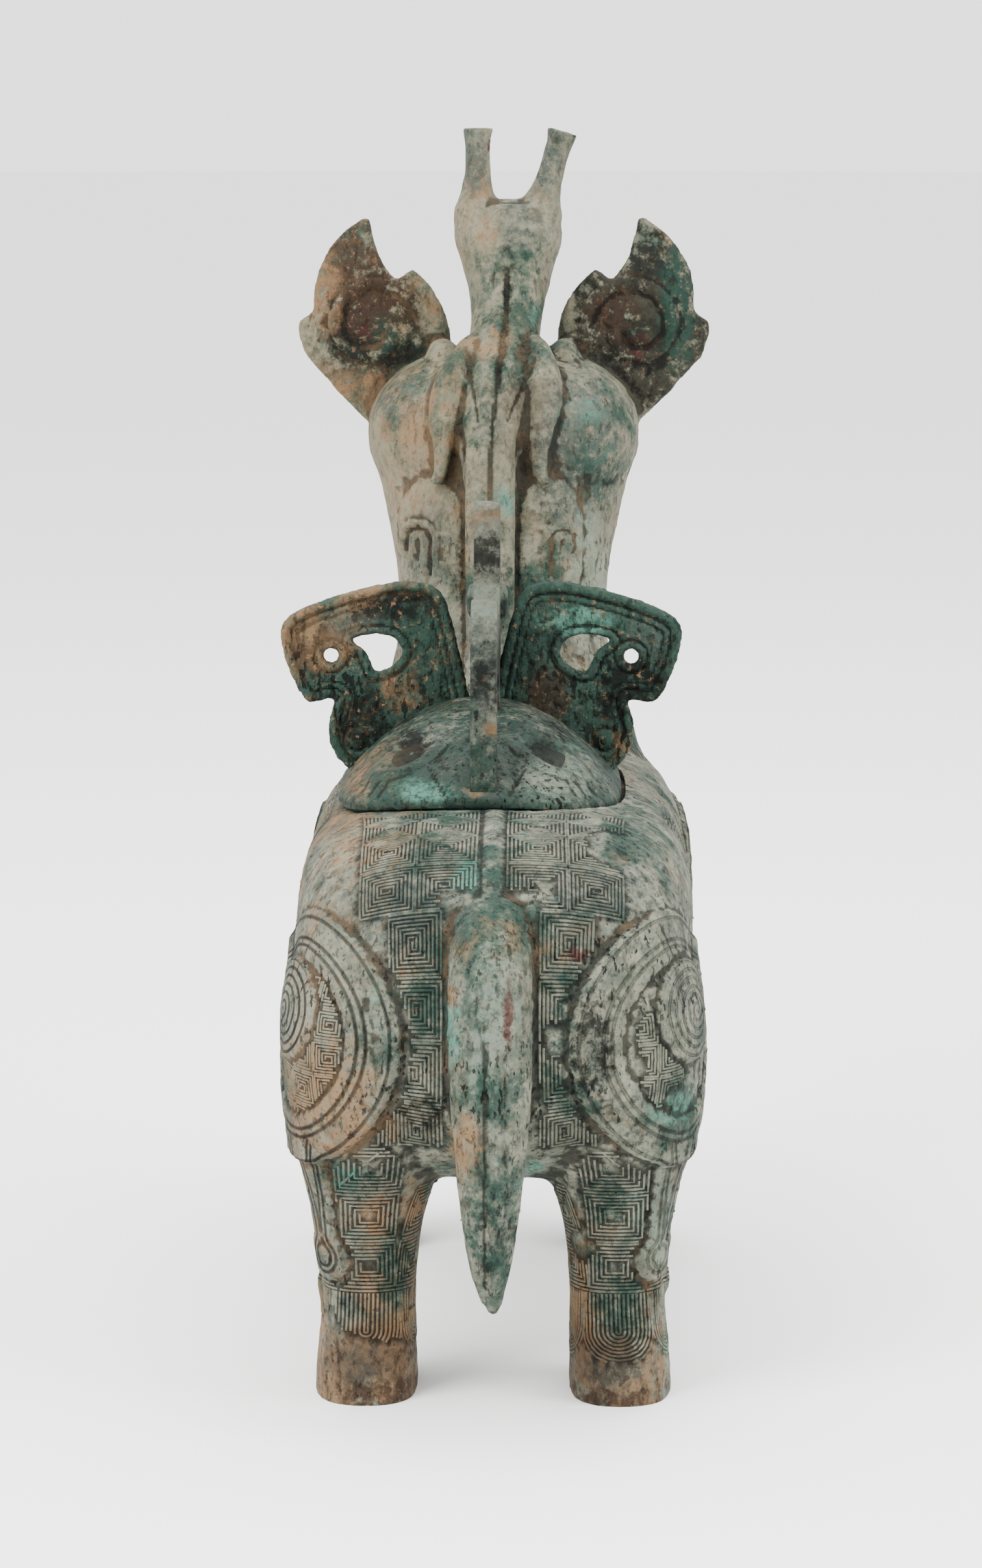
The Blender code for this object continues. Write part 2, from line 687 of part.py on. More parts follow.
def lid_relief(points):
    """The mask on the rear of the lid: slanted eyes under brows, and a muzzle."""
    p = points / UNIT
    side = np.abs(p[:, 0] - LID_MIDDLE[0])
    seen = p[:, 2] + MASK_TILT * p[:, 1]
    outside = step(p[:, 2], SEAT_Z + LID_LIP, SEAT_Z + LID_LIP + 1) * (1 - step(p[:, 1], -58, -50))
    slant = math.radians(MASK_EYE_SLANT)
    u, v = side - MASK_EYE[0], seen - MASK_EYE[1]
    along = u * math.cos(slant) - v * math.sin(slant)
    across = u * math.sin(slant) + v * math.cos(slant)
    eye = np.hypot(along / MASK_EYE_SIZE[0], across / MASK_EYE_SIZE[1])
    total = 1.5 * (1 - step(eye, 0.45, 0.8)) - 1.6 * (1 - step(eye, 0.9, 1.15))
    total += 1.3 * (1 - step(side, 7, 11)) * (1 - step(seen, 168, 171))
    return total * outside * UNIT


def dome_rise(share):
    """Height of the dome over its lip, in metres, where 1 is its edge."""
    return LID_DOME * UNIT * (1 - share**LID_CURVE)


def lid_dome():
    """The hollow lid: lip, dome, hollow underside and the flange that enters the mouth."""
    count = 80
    gap, lip = LID_GAP, LID_LIP * UNIT
    middle = (LID_MIDDLE[0] * UNIT, LID_MIDDLE[1] * UNIT)
    rings = [lid_ring(0, gap + LID_CHAMFER, count), lid_ring(0, gap + lip, count)]
    for share in np.linspace(0.975, 0.06, 24):
        rings.append(lid_ring(0, gap + lip + dome_rise(share), count, share))
    top = (*middle, SEAT_Z * UNIT + gap + lip + dome_rise(0))
    flange_out = SEAT_LEDGE + FLANGE_CLEARANCE
    flange_in = flange_out + FLANGE_WALL
    under = [
        lid_ring(LID_CHAMFER, gap, count),
        lid_ring(flange_out, gap, count),
        lid_ring(flange_out, gap - FLANGE_DEPTH, count),
        lid_ring(flange_in, gap - FLANGE_DEPTH, count),
    ]
    inner_share = 1 - flange_in / (LID_HALF_WIDTH * UNIT)
    for share in np.linspace(1, 0.1, 9):
        height = gap + lip - LID_WALL + dome_rise(share * inner_share)
        under.append(lid_ring(flange_in, height, count, share))
    floor = (*middle, SEAT_Z * UNIT + gap + lip - LID_WALL + dome_rise(0))
    mesh = mesh_from_rings("lid", under[::-1] + rings, (floor, top))
    lid = add_object("lid", mesh)
    raise_surface(lid, lid_relief)
    return thinned(lid, LID_FACES)


def prism(name, offset, low, high, count=40):
    """A straight-sided cutter on the lid's plan. Low and high are heights over the seat."""
    rings = [lid_ring(offset, low, count), lid_ring(offset, high, count)]
    return hide_helper(add_object(name, mesh_from_rings(name, rings)))


def cavity():
    """The hollow inside the trunk, neck and head, one wall in from the outer form."""
    pieces = [
        trunk("trunk hollow", inset=WALL),
        tube("neck hollow", centred(NECK), inset=WALL + 2 * UNIT),
        tube("head hollow", centred(HEAD[2:8]), inset=WALL + 2 * UNIT),
    ]
    hollow = thinned(merged("hollow", pieces, 2 * VOXEL, 4), CAVITY_FACES)
    return hide_helper(hollow)


def ground_cutter():
    """Cuts the hooves flat where they stand."""
    made = bmesh.new()
    bmesh.ops.create_cube(made, size=1.0)
    for vert in made.verts:
        vert.co.z -= 0.5
    mesh = bpy.data.meshes.new("ground")
    made.to_mesh(mesh)
    made.free()
    return hide_helper(add_object("ground", mesh))


def boolean(obj, operation, other):
    modifier = obj.modifiers.new(f"{operation.lower()} {other.name}", "BOOLEAN")
    modifier.operation = operation
    modifier.solver = "EXACT"
    modifier.object = other


def bronze(name, colour, roughness):
    material = bpy.data.materials.new(name)
    material.use_nodes = True
    shader = material.node_tree.nodes["Principled BSDF"]
    shader.inputs["Base Color"].default_value = (*colour, 1)
    shader.inputs["Roughness"].default_value = roughness
    shader.inputs["Metallic"].default_value = 0.15
    return material


def centre_on_origin(obj):
    """Moves the whole model until this object's box is centred over the origin."""
    points, _ = read_points(evaluated_mesh(obj))
    low, high = points.min(axis=0), points.max(axis=0)
    shift = Vector((-(low[0] + high[0]) / 2, -(low[1] + high[1]) / 2, 0))
    for each in bpy.data.objects:
        each.location += shift


def main():
    for obj in list(bpy.data.objects):
        bpy.data.objects.remove(obj)
    body = vessel_form()
    for side in (-1, 1):
        boolean(body, "UNION", ear(side))
    boolean(body, "DIFFERENCE", prism("lid seat", -LID_SIDE_CLEARANCE, 0, SEAT_CUT * UNIT))
    boolean(body, "DIFFERENCE", prism("mouth", SEAT_LEDGE, -MOUTH_CUT * UNIT, MOUTH_CUT * UNIT))
    boolean(body, "DIFFERENCE", cavity())
    boolean(body, "DIFFERENCE", ground_cutter())
    body.data.materials.append(bronze("vessel_bronze", (0.20, 0.26, 0.21), 0.72))
    lid = lid_dome()
    for side in (-1, 1):
        boolean(lid, "UNION", horn_plate(side))
        for line in HORN_RIDGES:
            boolean(lid, "UNION", ridge(f"horn ridge {side}", line, side))
    boolean(lid, "UNION", bird())
    boolean(lid, "UNION", bird_eyes())
    lid.data.materials.append(bronze("lid_bronze", (0.17, 0.27, 0.22), 0.70))
    centre_on_origin(body)


main()
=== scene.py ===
import math

import bmesh
import bpy
import numpy as np
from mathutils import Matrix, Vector, noise
from mathutils.bvhtree import BVHTree
from mathutils.kdtree import KDTree


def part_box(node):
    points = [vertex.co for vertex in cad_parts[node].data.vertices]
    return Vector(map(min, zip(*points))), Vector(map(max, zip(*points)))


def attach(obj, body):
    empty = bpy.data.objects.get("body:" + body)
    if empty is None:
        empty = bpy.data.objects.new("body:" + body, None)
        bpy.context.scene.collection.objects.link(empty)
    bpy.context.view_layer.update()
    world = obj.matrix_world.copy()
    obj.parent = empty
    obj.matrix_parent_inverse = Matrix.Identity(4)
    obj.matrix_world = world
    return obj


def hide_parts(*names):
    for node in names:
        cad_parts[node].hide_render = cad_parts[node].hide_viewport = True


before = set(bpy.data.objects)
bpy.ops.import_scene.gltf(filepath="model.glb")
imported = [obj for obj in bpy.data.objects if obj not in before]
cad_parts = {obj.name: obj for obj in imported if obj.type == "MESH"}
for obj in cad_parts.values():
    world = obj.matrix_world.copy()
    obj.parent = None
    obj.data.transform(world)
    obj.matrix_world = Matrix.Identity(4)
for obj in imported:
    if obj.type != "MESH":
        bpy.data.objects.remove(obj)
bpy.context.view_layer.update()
vesselLow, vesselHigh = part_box("vessel")
print("frame loaded")

# The form is drawn in units; one unit is the height over drawnHeight.
figure = {"height": 0.385, "drawnHeight": 349.0}
unit = figure["height"] / figure["drawnHeight"]


def smoothRows(rows, steps=5):
    # a smooth curve through the rows, with so many steps from each to the next
    rows = np.array(rows, float)
    padded = np.vstack([2 * rows[0] - rows[1], rows, 2 * rows[-1] - rows[-2]])
    found = []
    for before, start, end, after in zip(padded, padded[1:], padded[2:], padded[3:]):
        for t in np.arange(steps) / steps:
            bend = (2 * before - 5 * start + 4 * end - after) * t**2
            twist = (3 * start - before - 3 * end + after) * t**3
            found.append(0.5 * (2 * start + (end - before) * t + bend + twist))
    return np.array([*found, rows[-1]])


def roundedLoop(halfU, halfV, power, count, lowerPower=None):
    turn = np.arange(count) * 2 * math.pi / count
    cos, sin = np.cos(turn), np.sin(turn)
    if lowerPower:
        power = np.where(sin < 0, lowerPower, power)
    return halfU * np.sign(cos) * np.abs(cos) ** (2 / power), halfV * np.sign(sin) * np.abs(sin) ** (2 / power)


def addObject(name, mesh):
    made = bpy.data.objects.new(name, mesh)
    bpy.context.scene.collection.objects.link(made)
    return made


def meshObject(name, made):
    # an object from a finished bmesh
    mesh = bpy.data.meshes.new(name)
    made.to_mesh(mesh)
    made.free()
    return addObject(name, mesh)


def ringMesh(name, rings, ends=(None, None)):
    # a skin over rings of points; an end is a point that closes it, or None for a flat face
    made = bmesh.new()
    rows = [[made.verts.new(point) for point in ring] for ring in rings]
    for row, following in zip(rows, rows[1:]):
        for k in range(len(row)):
            near = (k + 1) % len(row)
            made.faces.new((row[k], row[near], following[near], following[k]))
    for row, end in ((rows[0], ends[0]), (rows[-1], ends[1])):
        if end is None:
            made.faces.new(row)
            continue
        tip = made.verts.new(end)
        for k in range(len(row)):
            made.faces.new((row[k], row[(k + 1) % len(row)], tip))
    bmesh.ops.recalc_face_normals(made, faces=made.faces)
    return meshObject(name, made)


def tubeMesh(name, rows, inset=0.0, power=2.2):
    # a tube along rows of x, y, z, half width and half depth
    rows = smoothRows(np.array(rows, float) * unit)
    tangents = np.gradient(rows[:, :3], axis=0)
    tangents[:, 0] = 0
    tangents /= np.linalg.norm(tangents, axis=1)[:, None]
    depthAxis = np.cross(tangents, [1.0, 0.0, 0.0])
    rings = []
    for row, across in zip(rows, depthAxis):
        halves = (max(half - inset, unit) for half in row[3:])
        u, v = roundedLoop(*halves, power, vesselForm["tubeSides"])
        ring = row[:3] + np.outer(v, across)
        ring[:, 0] += u
        rings.append(ring)
    return ringMesh(name, rings)


def ballMesh(name, middle, halfSizes):
    made = bmesh.new()
    bmesh.ops.create_uvsphere(made, u_segments=28, v_segments=16, radius=1.0)
    bmesh.ops.scale(made, vec=Vector(halfSizes) * unit, verts=made.verts)
    bmesh.ops.translate(made, vec=Vector(middle) * unit, verts=made.verts)
    return meshObject(name, made)


def evaluatedMesh(obj):
    bpy.context.view_layer.update()
    return bpy.data.meshes.new_from_object(obj.evaluated_get(bpy.context.evaluated_depsgraph_get()))


def applied(obj):
    mesh = evaluatedMesh(obj)
    obj.modifiers.clear()
    obj.data = mesh
    return obj


def joined(name, parts):
    host = bmesh.new()
    for part in parts:
        host.from_mesh(part.data)
        bpy.data.objects.remove(part)
    return meshObject(name, host)


def oneSkin(name, parts, voxel, smoothings):
    # closed parts melted into one skin, with soft joins
    skin = joined(name, parts)
    remesh = skin.modifiers.new("one skin", "REMESH")
    remesh.mode = "VOXEL"
    remesh.voxel_size = voxel
    smooth = skin.modifiers.new("soft joins", "SMOOTH")
    smooth.factor = 0.5
    smooth.iterations = smoothings
    return applied(skin)


def reduced(obj, triangles):
    obj.data.calc_loop_triangles()
    thin = obj.modifiers.new("fewer faces", "DECIMATE")
    thin.ratio = min(1.0, triangles / len(obj.data.loop_triangles))
    return applied(obj)


def readPoints(mesh):
    points = np.empty(len(mesh.vertices) * 3)
    normals = np.empty(len(mesh.vertices) * 3)
    mesh.vertices.foreach_get("co", points)
    mesh.vertices.foreach_get("normal", normals)
    return points.reshape(-1, 3), normals.reshape(-1, 3)


def writePoints(obj, points):
    obj.data.vertices.foreach_set("co", np.asarray(points, float).ravel())
    obj.data.update()


def raiseSurface(obj, height):
    points, normals = readPoints(obj.data)
    writePoints(obj, points + normals * height(points / unit)[:, None] * unit)


def softStep(value, low, high):
    t = np.clip((value - low) / (high - low), 0, 1)
    return t * t * (3 - 2 * t)


def softStripe(value, middle, half, soft):
    # 1 within half of the middle, 0 beyond, with a soft edge
    return 1 - softStep(np.abs(value - middle), half - soft, half + soft)


def lumps(points, size, seed, octaves=3):
    shift = Vector((seed * 17.3, seed * 5.1, seed * 9.7))
    return np.array([noise.fractal(Vector(p) / size + shift, 0.7, 2.1, octaves) for p in points])


def cut(obj, other):
    boolean = obj.modifiers.new(other.name, "BOOLEAN")
    boolean.operation = "DIFFERENCE"
    boolean.solver = "EXACT"
    boolean.object = other
    applied(obj)
    bpy.data.objects.remove(other)


def setShare(obj, name, values):
    attribute = obj.data.attributes.new(name, "FLOAT", "POINT")
    attribute.data.foreach_set("value", values)


# a hollow's depth is read against the surface smoothed so many rounds, and this depth counts in full
hollowForm = {"rounds": (2, 6), "depth": 0.00011, "depthGrows": 0.6}


def wornHollows(obj):
    # 1 in grooves and crevices, 0 on what stands proud, as an attribute for the patina
    points, normals = readPoints(obj.data)
    edges = np.empty(len(obj.data.edges) * 2, int)
    obj.data.edges.foreach_get("vertices", edges)
    a, b = edges.reshape(-1, 2).T
    count = np.bincount(np.concatenate([a, b]), minlength=len(points))[:, None]
    smooth, found = points.copy(), np.zeros(len(points))
    for turn in range(1, max(hollowForm["rounds"]) + 1):
        total = np.zeros_like(points)
        for k in range(3):
            total[:, k] = np.bincount(a, smooth[b, k], len(points)) + np.bincount(b, smooth[a, k], len(points))
        smooth = total / np.maximum(count, 1)
        if turn in hollowForm["rounds"]:
            full = hollowForm["depth"] * turn ** hollowForm["depthGrows"]
            found += ((smooth - points) * normals).sum(axis=1) / full
    setShare(obj, "hollow", np.clip(found, 0, 1))


vesselForm = {
    # trunk: y, bottom, top, half width, squareness of its upper and its lower half
    "trunk": [
        (-178, 96, 114, 10, 2.0, 2.0), (-174.5, 84, 130, 26, 2.2, 2.0), (-166, 74, 146, 40, 2.7, 2.3),
        (-151, 66, 156, 50, 3.3, 2.6), (-130, 62, 161, 54.5, 4.0, 2.8), (-100, 58, 161.5, 56, 4.6, 3.0),
        (-50, 55, 161.5, 56, 4.6, 2.8), (0, 55.5, 161.5, 56, 4.4, 2.8), (42, 61, 163, 56, 3.5, 2.9),
        (72, 67, 161, 55, 3.0, 2.6), (94, 78, 150, 45, 2.5, 2.3), (108, 94, 134, 28, 2.1, 2.1),
        (113, 107, 121, 10, 2.0, 2.0),
    ],
    # neck, head, tail and the beast's parts: y, z of the middle, half width, half depth
    "neck": [
        (50, 98, 49, 44), (56, 132, 49, 42), (61, 156, 43, 37), (65, 177, 36, 33), (68, 196, 32, 30.5),
        (71, 213, 33, 30), (75, 231, 36.5, 31), (80, 247, 40, 33), (85, 259, 41, 33),
    ],
    "head": [
        (46, 256, 8, 7), (50, 256, 25, 16), (60, 255, 37.5, 23.5), (78, 254, 42.5, 27.5), (98, 252, 40, 27.5),
        (118, 247, 33, 25), (138, 241.5, 26.5, 21.5), (158, 238, 23, 18.5), (173, 236, 21.5, 16.5),
        (180, 235.5, 16, 12), (183, 235, 6, 5),
    ],
    # legs: z, distance of the middle from the centre plane, y, half width, half depth
    "hindLeg": [
        (140, 30, -124, 22, 36), (108, 32, -128, 25, 44), (84, 33, -130, 23.5, 40), (66, 34, -131, 18.8, 30),
        (50, 34.6, -133, 14.8, 20), (38, 34.5, -133, 13.2, 16.5), (26, 34.8, -131, 13, 16.5),
        (13, 35.4, -127, 13.8, 20), (2, 35.6, -124, 14.4, 23.5), (-4, 35.6, -124, 14.4, 23.5),
    ],
    "foreLeg": [
        (140, 31, 56, 21, 36), (108, 34, 60, 23, 41), (84, 37, 60, 20.5, 33), (66, 38.4, 59, 15.5, 24),
        (50, 38.8, 57, 13, 18), (38, 38.8, 57, 12, 15.5), (26, 38.8, 59, 11.8, 16),
        (13, 39, 63, 12.6, 19.5), (2, 39.2, 66, 13.2, 22.5), (-4, 39.2, 66, 13.2, 22.5),
    ],
    "tail": [
        (-158, 139.5, 7.5, 5), (-167, 138.5, 10.3, 8.5), (-176, 126, 11.3, 9.8), (-179, 109, 11.4, 8.8),
        (-180.5, 90, 10.8, 8), (-181, 71, 9, 7), (-180.5, 54, 6.8, 5.8), (-180, 43.5, 4.6, 4.3),
        (-179.5, 35, 1.5, 1.7),
    ],
    "tubeSides": 40,
    "trunkSides": 72,
    "wall": 0.0040,
    "coreVoxel": 1.9 * unit,
    "skinVoxel": 0.00125,
    "hollowVoxel": 3.8 * unit,
    "skinTriangles": 165000,
    "hollowTriangles": 2400,
    # rough bits left from the casting: middle and half sizes of each
    "spurs": [
        ((-47.2, -129, 31), (1.7, 4, 6)), ((47.4, -129, 33), (1.9, 5, 4.5)), ((-23.5, -104, 55.5), (3.0, 4, 3.2)),
        ((-25.5, -103, 51.5), (1.6, 2.4, 2.2)), ((21.5, -106, 58.5), (2.4, 3, 1.8)),
    ],
}
beastForm = {
    "back": [
        (38, 190, 6.8, 3), (40, 208, 7, 4.5), (42, 224, 7.3, 6), (45, 240, 8.6, 8.5), (49, 253, 10.2, 10.5),
        (55, 266, 11.8, 12), (63, 277, 11.2, 11.8), (71, 287, 10.8, 11.6), (76, 296, 11.8, 12),
        (79.5, 305, 14.2, 13), (81.5, 314, 16.8, 13.5), (82.5, 320, 15.6, 11.5), (83, 324, 11.5, 8),
        (83, 326, 5, 4),
    ],
    "head": [
        (75, 311, 6, 6), (80, 312, 12.5, 12), (88, 312, 15, 14), (98, 309, 11.5, 10.5), (108, 306.5, 8.5, 7.5),
        (117, 305.5, 7.8, 6.5), (121, 305.5, 4, 4),
    ],
    # distance along a horn, radius
    "horn": [(-8, 6.6), (0, 7.4), (4, 6.3), (8, 4.8), (14, 4.0), (20, 4.0), (25, 4.6), (26.4, 5.1), (27, 4.9)],
    "hornFoot": (9.5, 81, 321),
    "hornLeans": {-1: 0.0, 1: 16.0},  # degrees outwards; the right one is bent
    "shift": 1.4,
    "bend": (-3.5, 246, 300),  # its back leans to the left below: how far, from which z to which
    # limbs that hold on to the head: distance from the centre plane, y, z, half width, half depth
    "limb": [
        (9.5, 62, 284, 2.4, 3), (12, 57, 278, 4.4, 6), (14.4, 51.5, 270, 5.6, 7), (15.2, 48.5, 261, 4.8, 6),
        (15, 46.4, 253, 3.1, 4.4), (15, 45.4, 246, 2.3, 3.2), (16.4, 45.2, 241, 1.8, 2.4),
    ],
    "arm": ((19.0, 78, 277), (5.0, 13, 6)),
}
haunchForm = {
    "hind": {"middle": (-122, 107), "inside": 12, "yaw": (-34.0, -37.5), "spread": 40.0},
    "fore": {"middle": (56, 114), "inside": 12, "yaw": (6.0, 6.0), "spread": 39.0},
    "edge": 47.0,
    "clear": 49.0,  # thread squares start outside this radius
    "wider": 1.09,
    "coilMiddle": (2.0, 9.0),
    "coilRadius": 19.5,
    "ringPitch": 3.2,
    "grooves": (33.4, 36.0, 43.6),
    "band": (37.5, 8.0),
    # thread squares between coil and band: half size, distance, how far they go, and what stays bare
    "squareHalf": 5.6,
    "squareStep": 12,
    "squareReach": (24, 30),
    "squaresEnd": 28.6,
    "offCoil": 1.4,
}
plumeForm = {
    "hind": {"leg": (34.5, -132), "faces": -50.0, "club": (43, 7.2), "shaft": (4.2, 11.0)},
    "fore": {"leg": (38.5, 58), "faces": -42.0, "club": (43, 6.6), "shaft": (3.8, 9.5)},
    "top": 84.0,
}
earForm = {
    # x, z from behind
    "outline": [
        (15, 268), (16.5, 281), (17, 287), (19, 293), (22, 298), (25.5, 301.8), (28.7, 304.3), (31, 302.7),
        (33.4, 300.2), (36, 303.6), (38.8, 308.5), (40.6, 314), (41.4, 319.6), (43.4, 320.6), (49.9, 316),
        (54.8, 310.3), (58, 304.1), (59.4, 297.5), (59.4, 290.7), (61.6, 289.3), (63.9, 288.8), (64.6, 285.5),
        (62.5, 277.9), (58, 272.6), (52, 265.8), (43.5, 257), (30, 254),
    ],
    "y": 88,
    "thickness": 0.0040,
    "voxel": 0.0012,
    "dish": 4.0,
    "middle": (41.0, 286.0),
    "radius": 27.0,
    # the curl in the hollow: where it fades in, how fast it opens, and its ridge and groove
    "curlFades": {"x": (24, 27), "y": (76, 80), "z": (262, 266)},
    "curlOpens": 1.6,
    "curlStart": 2.0,
    "curlRidge": (4.6, 1.1, 0.8),
    "curlGroove": (1.4, 0.9, 0.8),
    "curlHeights": (0.8, 0.9),
}
# on the nape: long soft lobes with a hook in each, as distance from the beast's line and z
napeForm = {
    "lobe": (18, 226),
    "lobeHalf": 10.5,
    "lobeUp": 17,
    "lobeDown": 34,
    "hook": (21.5, 223),
    "hookRadius": 3.4,
    "hookSides": (18.1, 24.9),
    "hookEnds": (212, 219),
    "far": 99,
}
faceForm = {
    # y and z of an eye with its half sizes, and of the nostrils, which are so far from the centre plane
    "eye": (122, 252),
    "eyeHalf": (9.5, 6.2),
    "mouthZ": 229.0,
    "nostril": (8.5, 242),
}


def plateMesh(name, outlines, thickness, voxel):
    # a plate in the X-Y plane; a later outline inside the first is an opening
    curve = bpy.data.curves.new(name, "CURVE")
    curve.dimensions = "2D"
    curve.fill_mode = "BOTH"
    curve.extrude = thickness / 2
    for outline in outlines:
        spline = curve.splines.new("POLY")
        spline.points.add(len(outline) - 1)
        for point, (u, v) in zip(spline.points, outline):
            point.co = (u * unit, v * unit, 0, 1)
        spline.use_cyclic_u = True
    helper = addObject(name, curve)
    made = bmesh.new()
    made.from_mesh(evaluatedMesh(helper))
    bpy.data.objects.remove(helper)
    bmesh.ops.remove_doubles(made, verts=made.verts, dist=0.02 * unit)
    made.normal_update()
    bmesh.ops.recalc_face_normals(made, faces=made.faces)
    return oneSkin(name, [meshObject(name, made)], voxel, 2)


def turnPlate(plate, place):
    # moves a plate from the X-Y plane to where it stands and points its faces outwards
    made = bmesh.new()
    made.from_mesh(plate.data)
    for vert in made.verts:
        vert.co = place(*vert.co)
    made.normal_update()
    bmesh.ops.recalc_face_normals(made, faces=made.faces)
    made.to_mesh(plate.data)
    made.free()
    return plate


def haunchPlane(p, spec):
    # flat coordinates on a haunch, in units, and the distance from the scroll's middle
    y, z = spec["middle"]
    yaw = np.radians(np.where(p[:, 0] < 0, *spec["yaw"]))
    cos, sin = np.cos(yaw), np.sin(yaw)
    away = np.column_stack([np.abs(p[:, 0]) - spec["inside"], p[:, 1] - y, p[:, 2] - z])
    facing = away[:, 0] * cos + away[:, 1] * sin
    angle = np.arccos(np.clip(facing / np.maximum(np.linalg.norm(away, axis=1), 1e-9), -1, 1))
    u, v = away[:, 1] * cos - away[:, 0] * sin, away[:, 2]
    flat = np.maximum(np.hypot(u, v), 1e-9)
    r = angle / math.radians(spec["spread"]) * haunchForm["edge"]
    u, v = u / flat * r / haunchForm["wider"], v / flat * r * haunchForm["wider"]
    return u, v, np.hypot(u, v)


def haunchRelief(p, spec):
    u, v, r = haunchPlane(p, spec)
    turn = np.degrees(np.arctan2(v, -u)) % 360  # 0 towards the tail, 90 upwards
    band = softStripe(r, *haunchForm["band"], 0.9)
    starts = softStep(turn, 74, 80) * (1 - softStep(turn, 118, 128))
    band *= 1 - starts
    coilU, coilV = haunchForm["coilMiddle"]
    coilR = np.hypot(u - coilU, v - coilV)
    coil = 1 - softStep(coilR, haunchForm["coilRadius"] - 0.9, haunchForm["coilRadius"] + 0.9)
    dome = 1 - softStep(coilR, 0, haunchForm["coilRadius"])
    disc = 1 - softStep(r, haunchForm["edge"] - 1.5, haunchForm["edge"] + 0.5)
    return 1.0 * disc + 1.3 * band + 1.2 * coil + 1.0 * dome


def plumeDistance(p, spec):
    # how far a point is outside a plume's outline, and how far out it is on the side that the plume faces
    x, y = spec["leg"]
    faces = math.radians(spec["faces"])
    away = np.column_stack([np.abs(p[:, 0]) - x, p[:, 1] - y])
    facing = away @ [math.cos(faces), math.sin(faces)]
    across = away @ [-math.sin(faces), math.cos(faces)]
    clubZ, club = spec["club"]
    narrow, wide = spec["shaft"]
    share = np.clip((p[:, 2] - clubZ) / (plumeForm["top"] - clubZ), 0, 1)
    shaft = np.abs(across + 2 * share) - (narrow + (wide - narrow) * share**2)
    shaft = np.maximum(shaft, clubZ - p[:, 2])
    return np.minimum(shaft, np.hypot(across, p[:, 2] - clubZ) - club), facing


def plumeRelief(p, spec):
    inside, facing = plumeDistance(p, spec)
    lowEnough = 1 - softStep(p[:, 2], plumeForm["top"] - 14, plumeForm["top"])
    shown = softStep(facing, 2, 5) * lowEnough
    return 1.7 * (1 - softStep(inside, -0.8, 0.8)) * shown


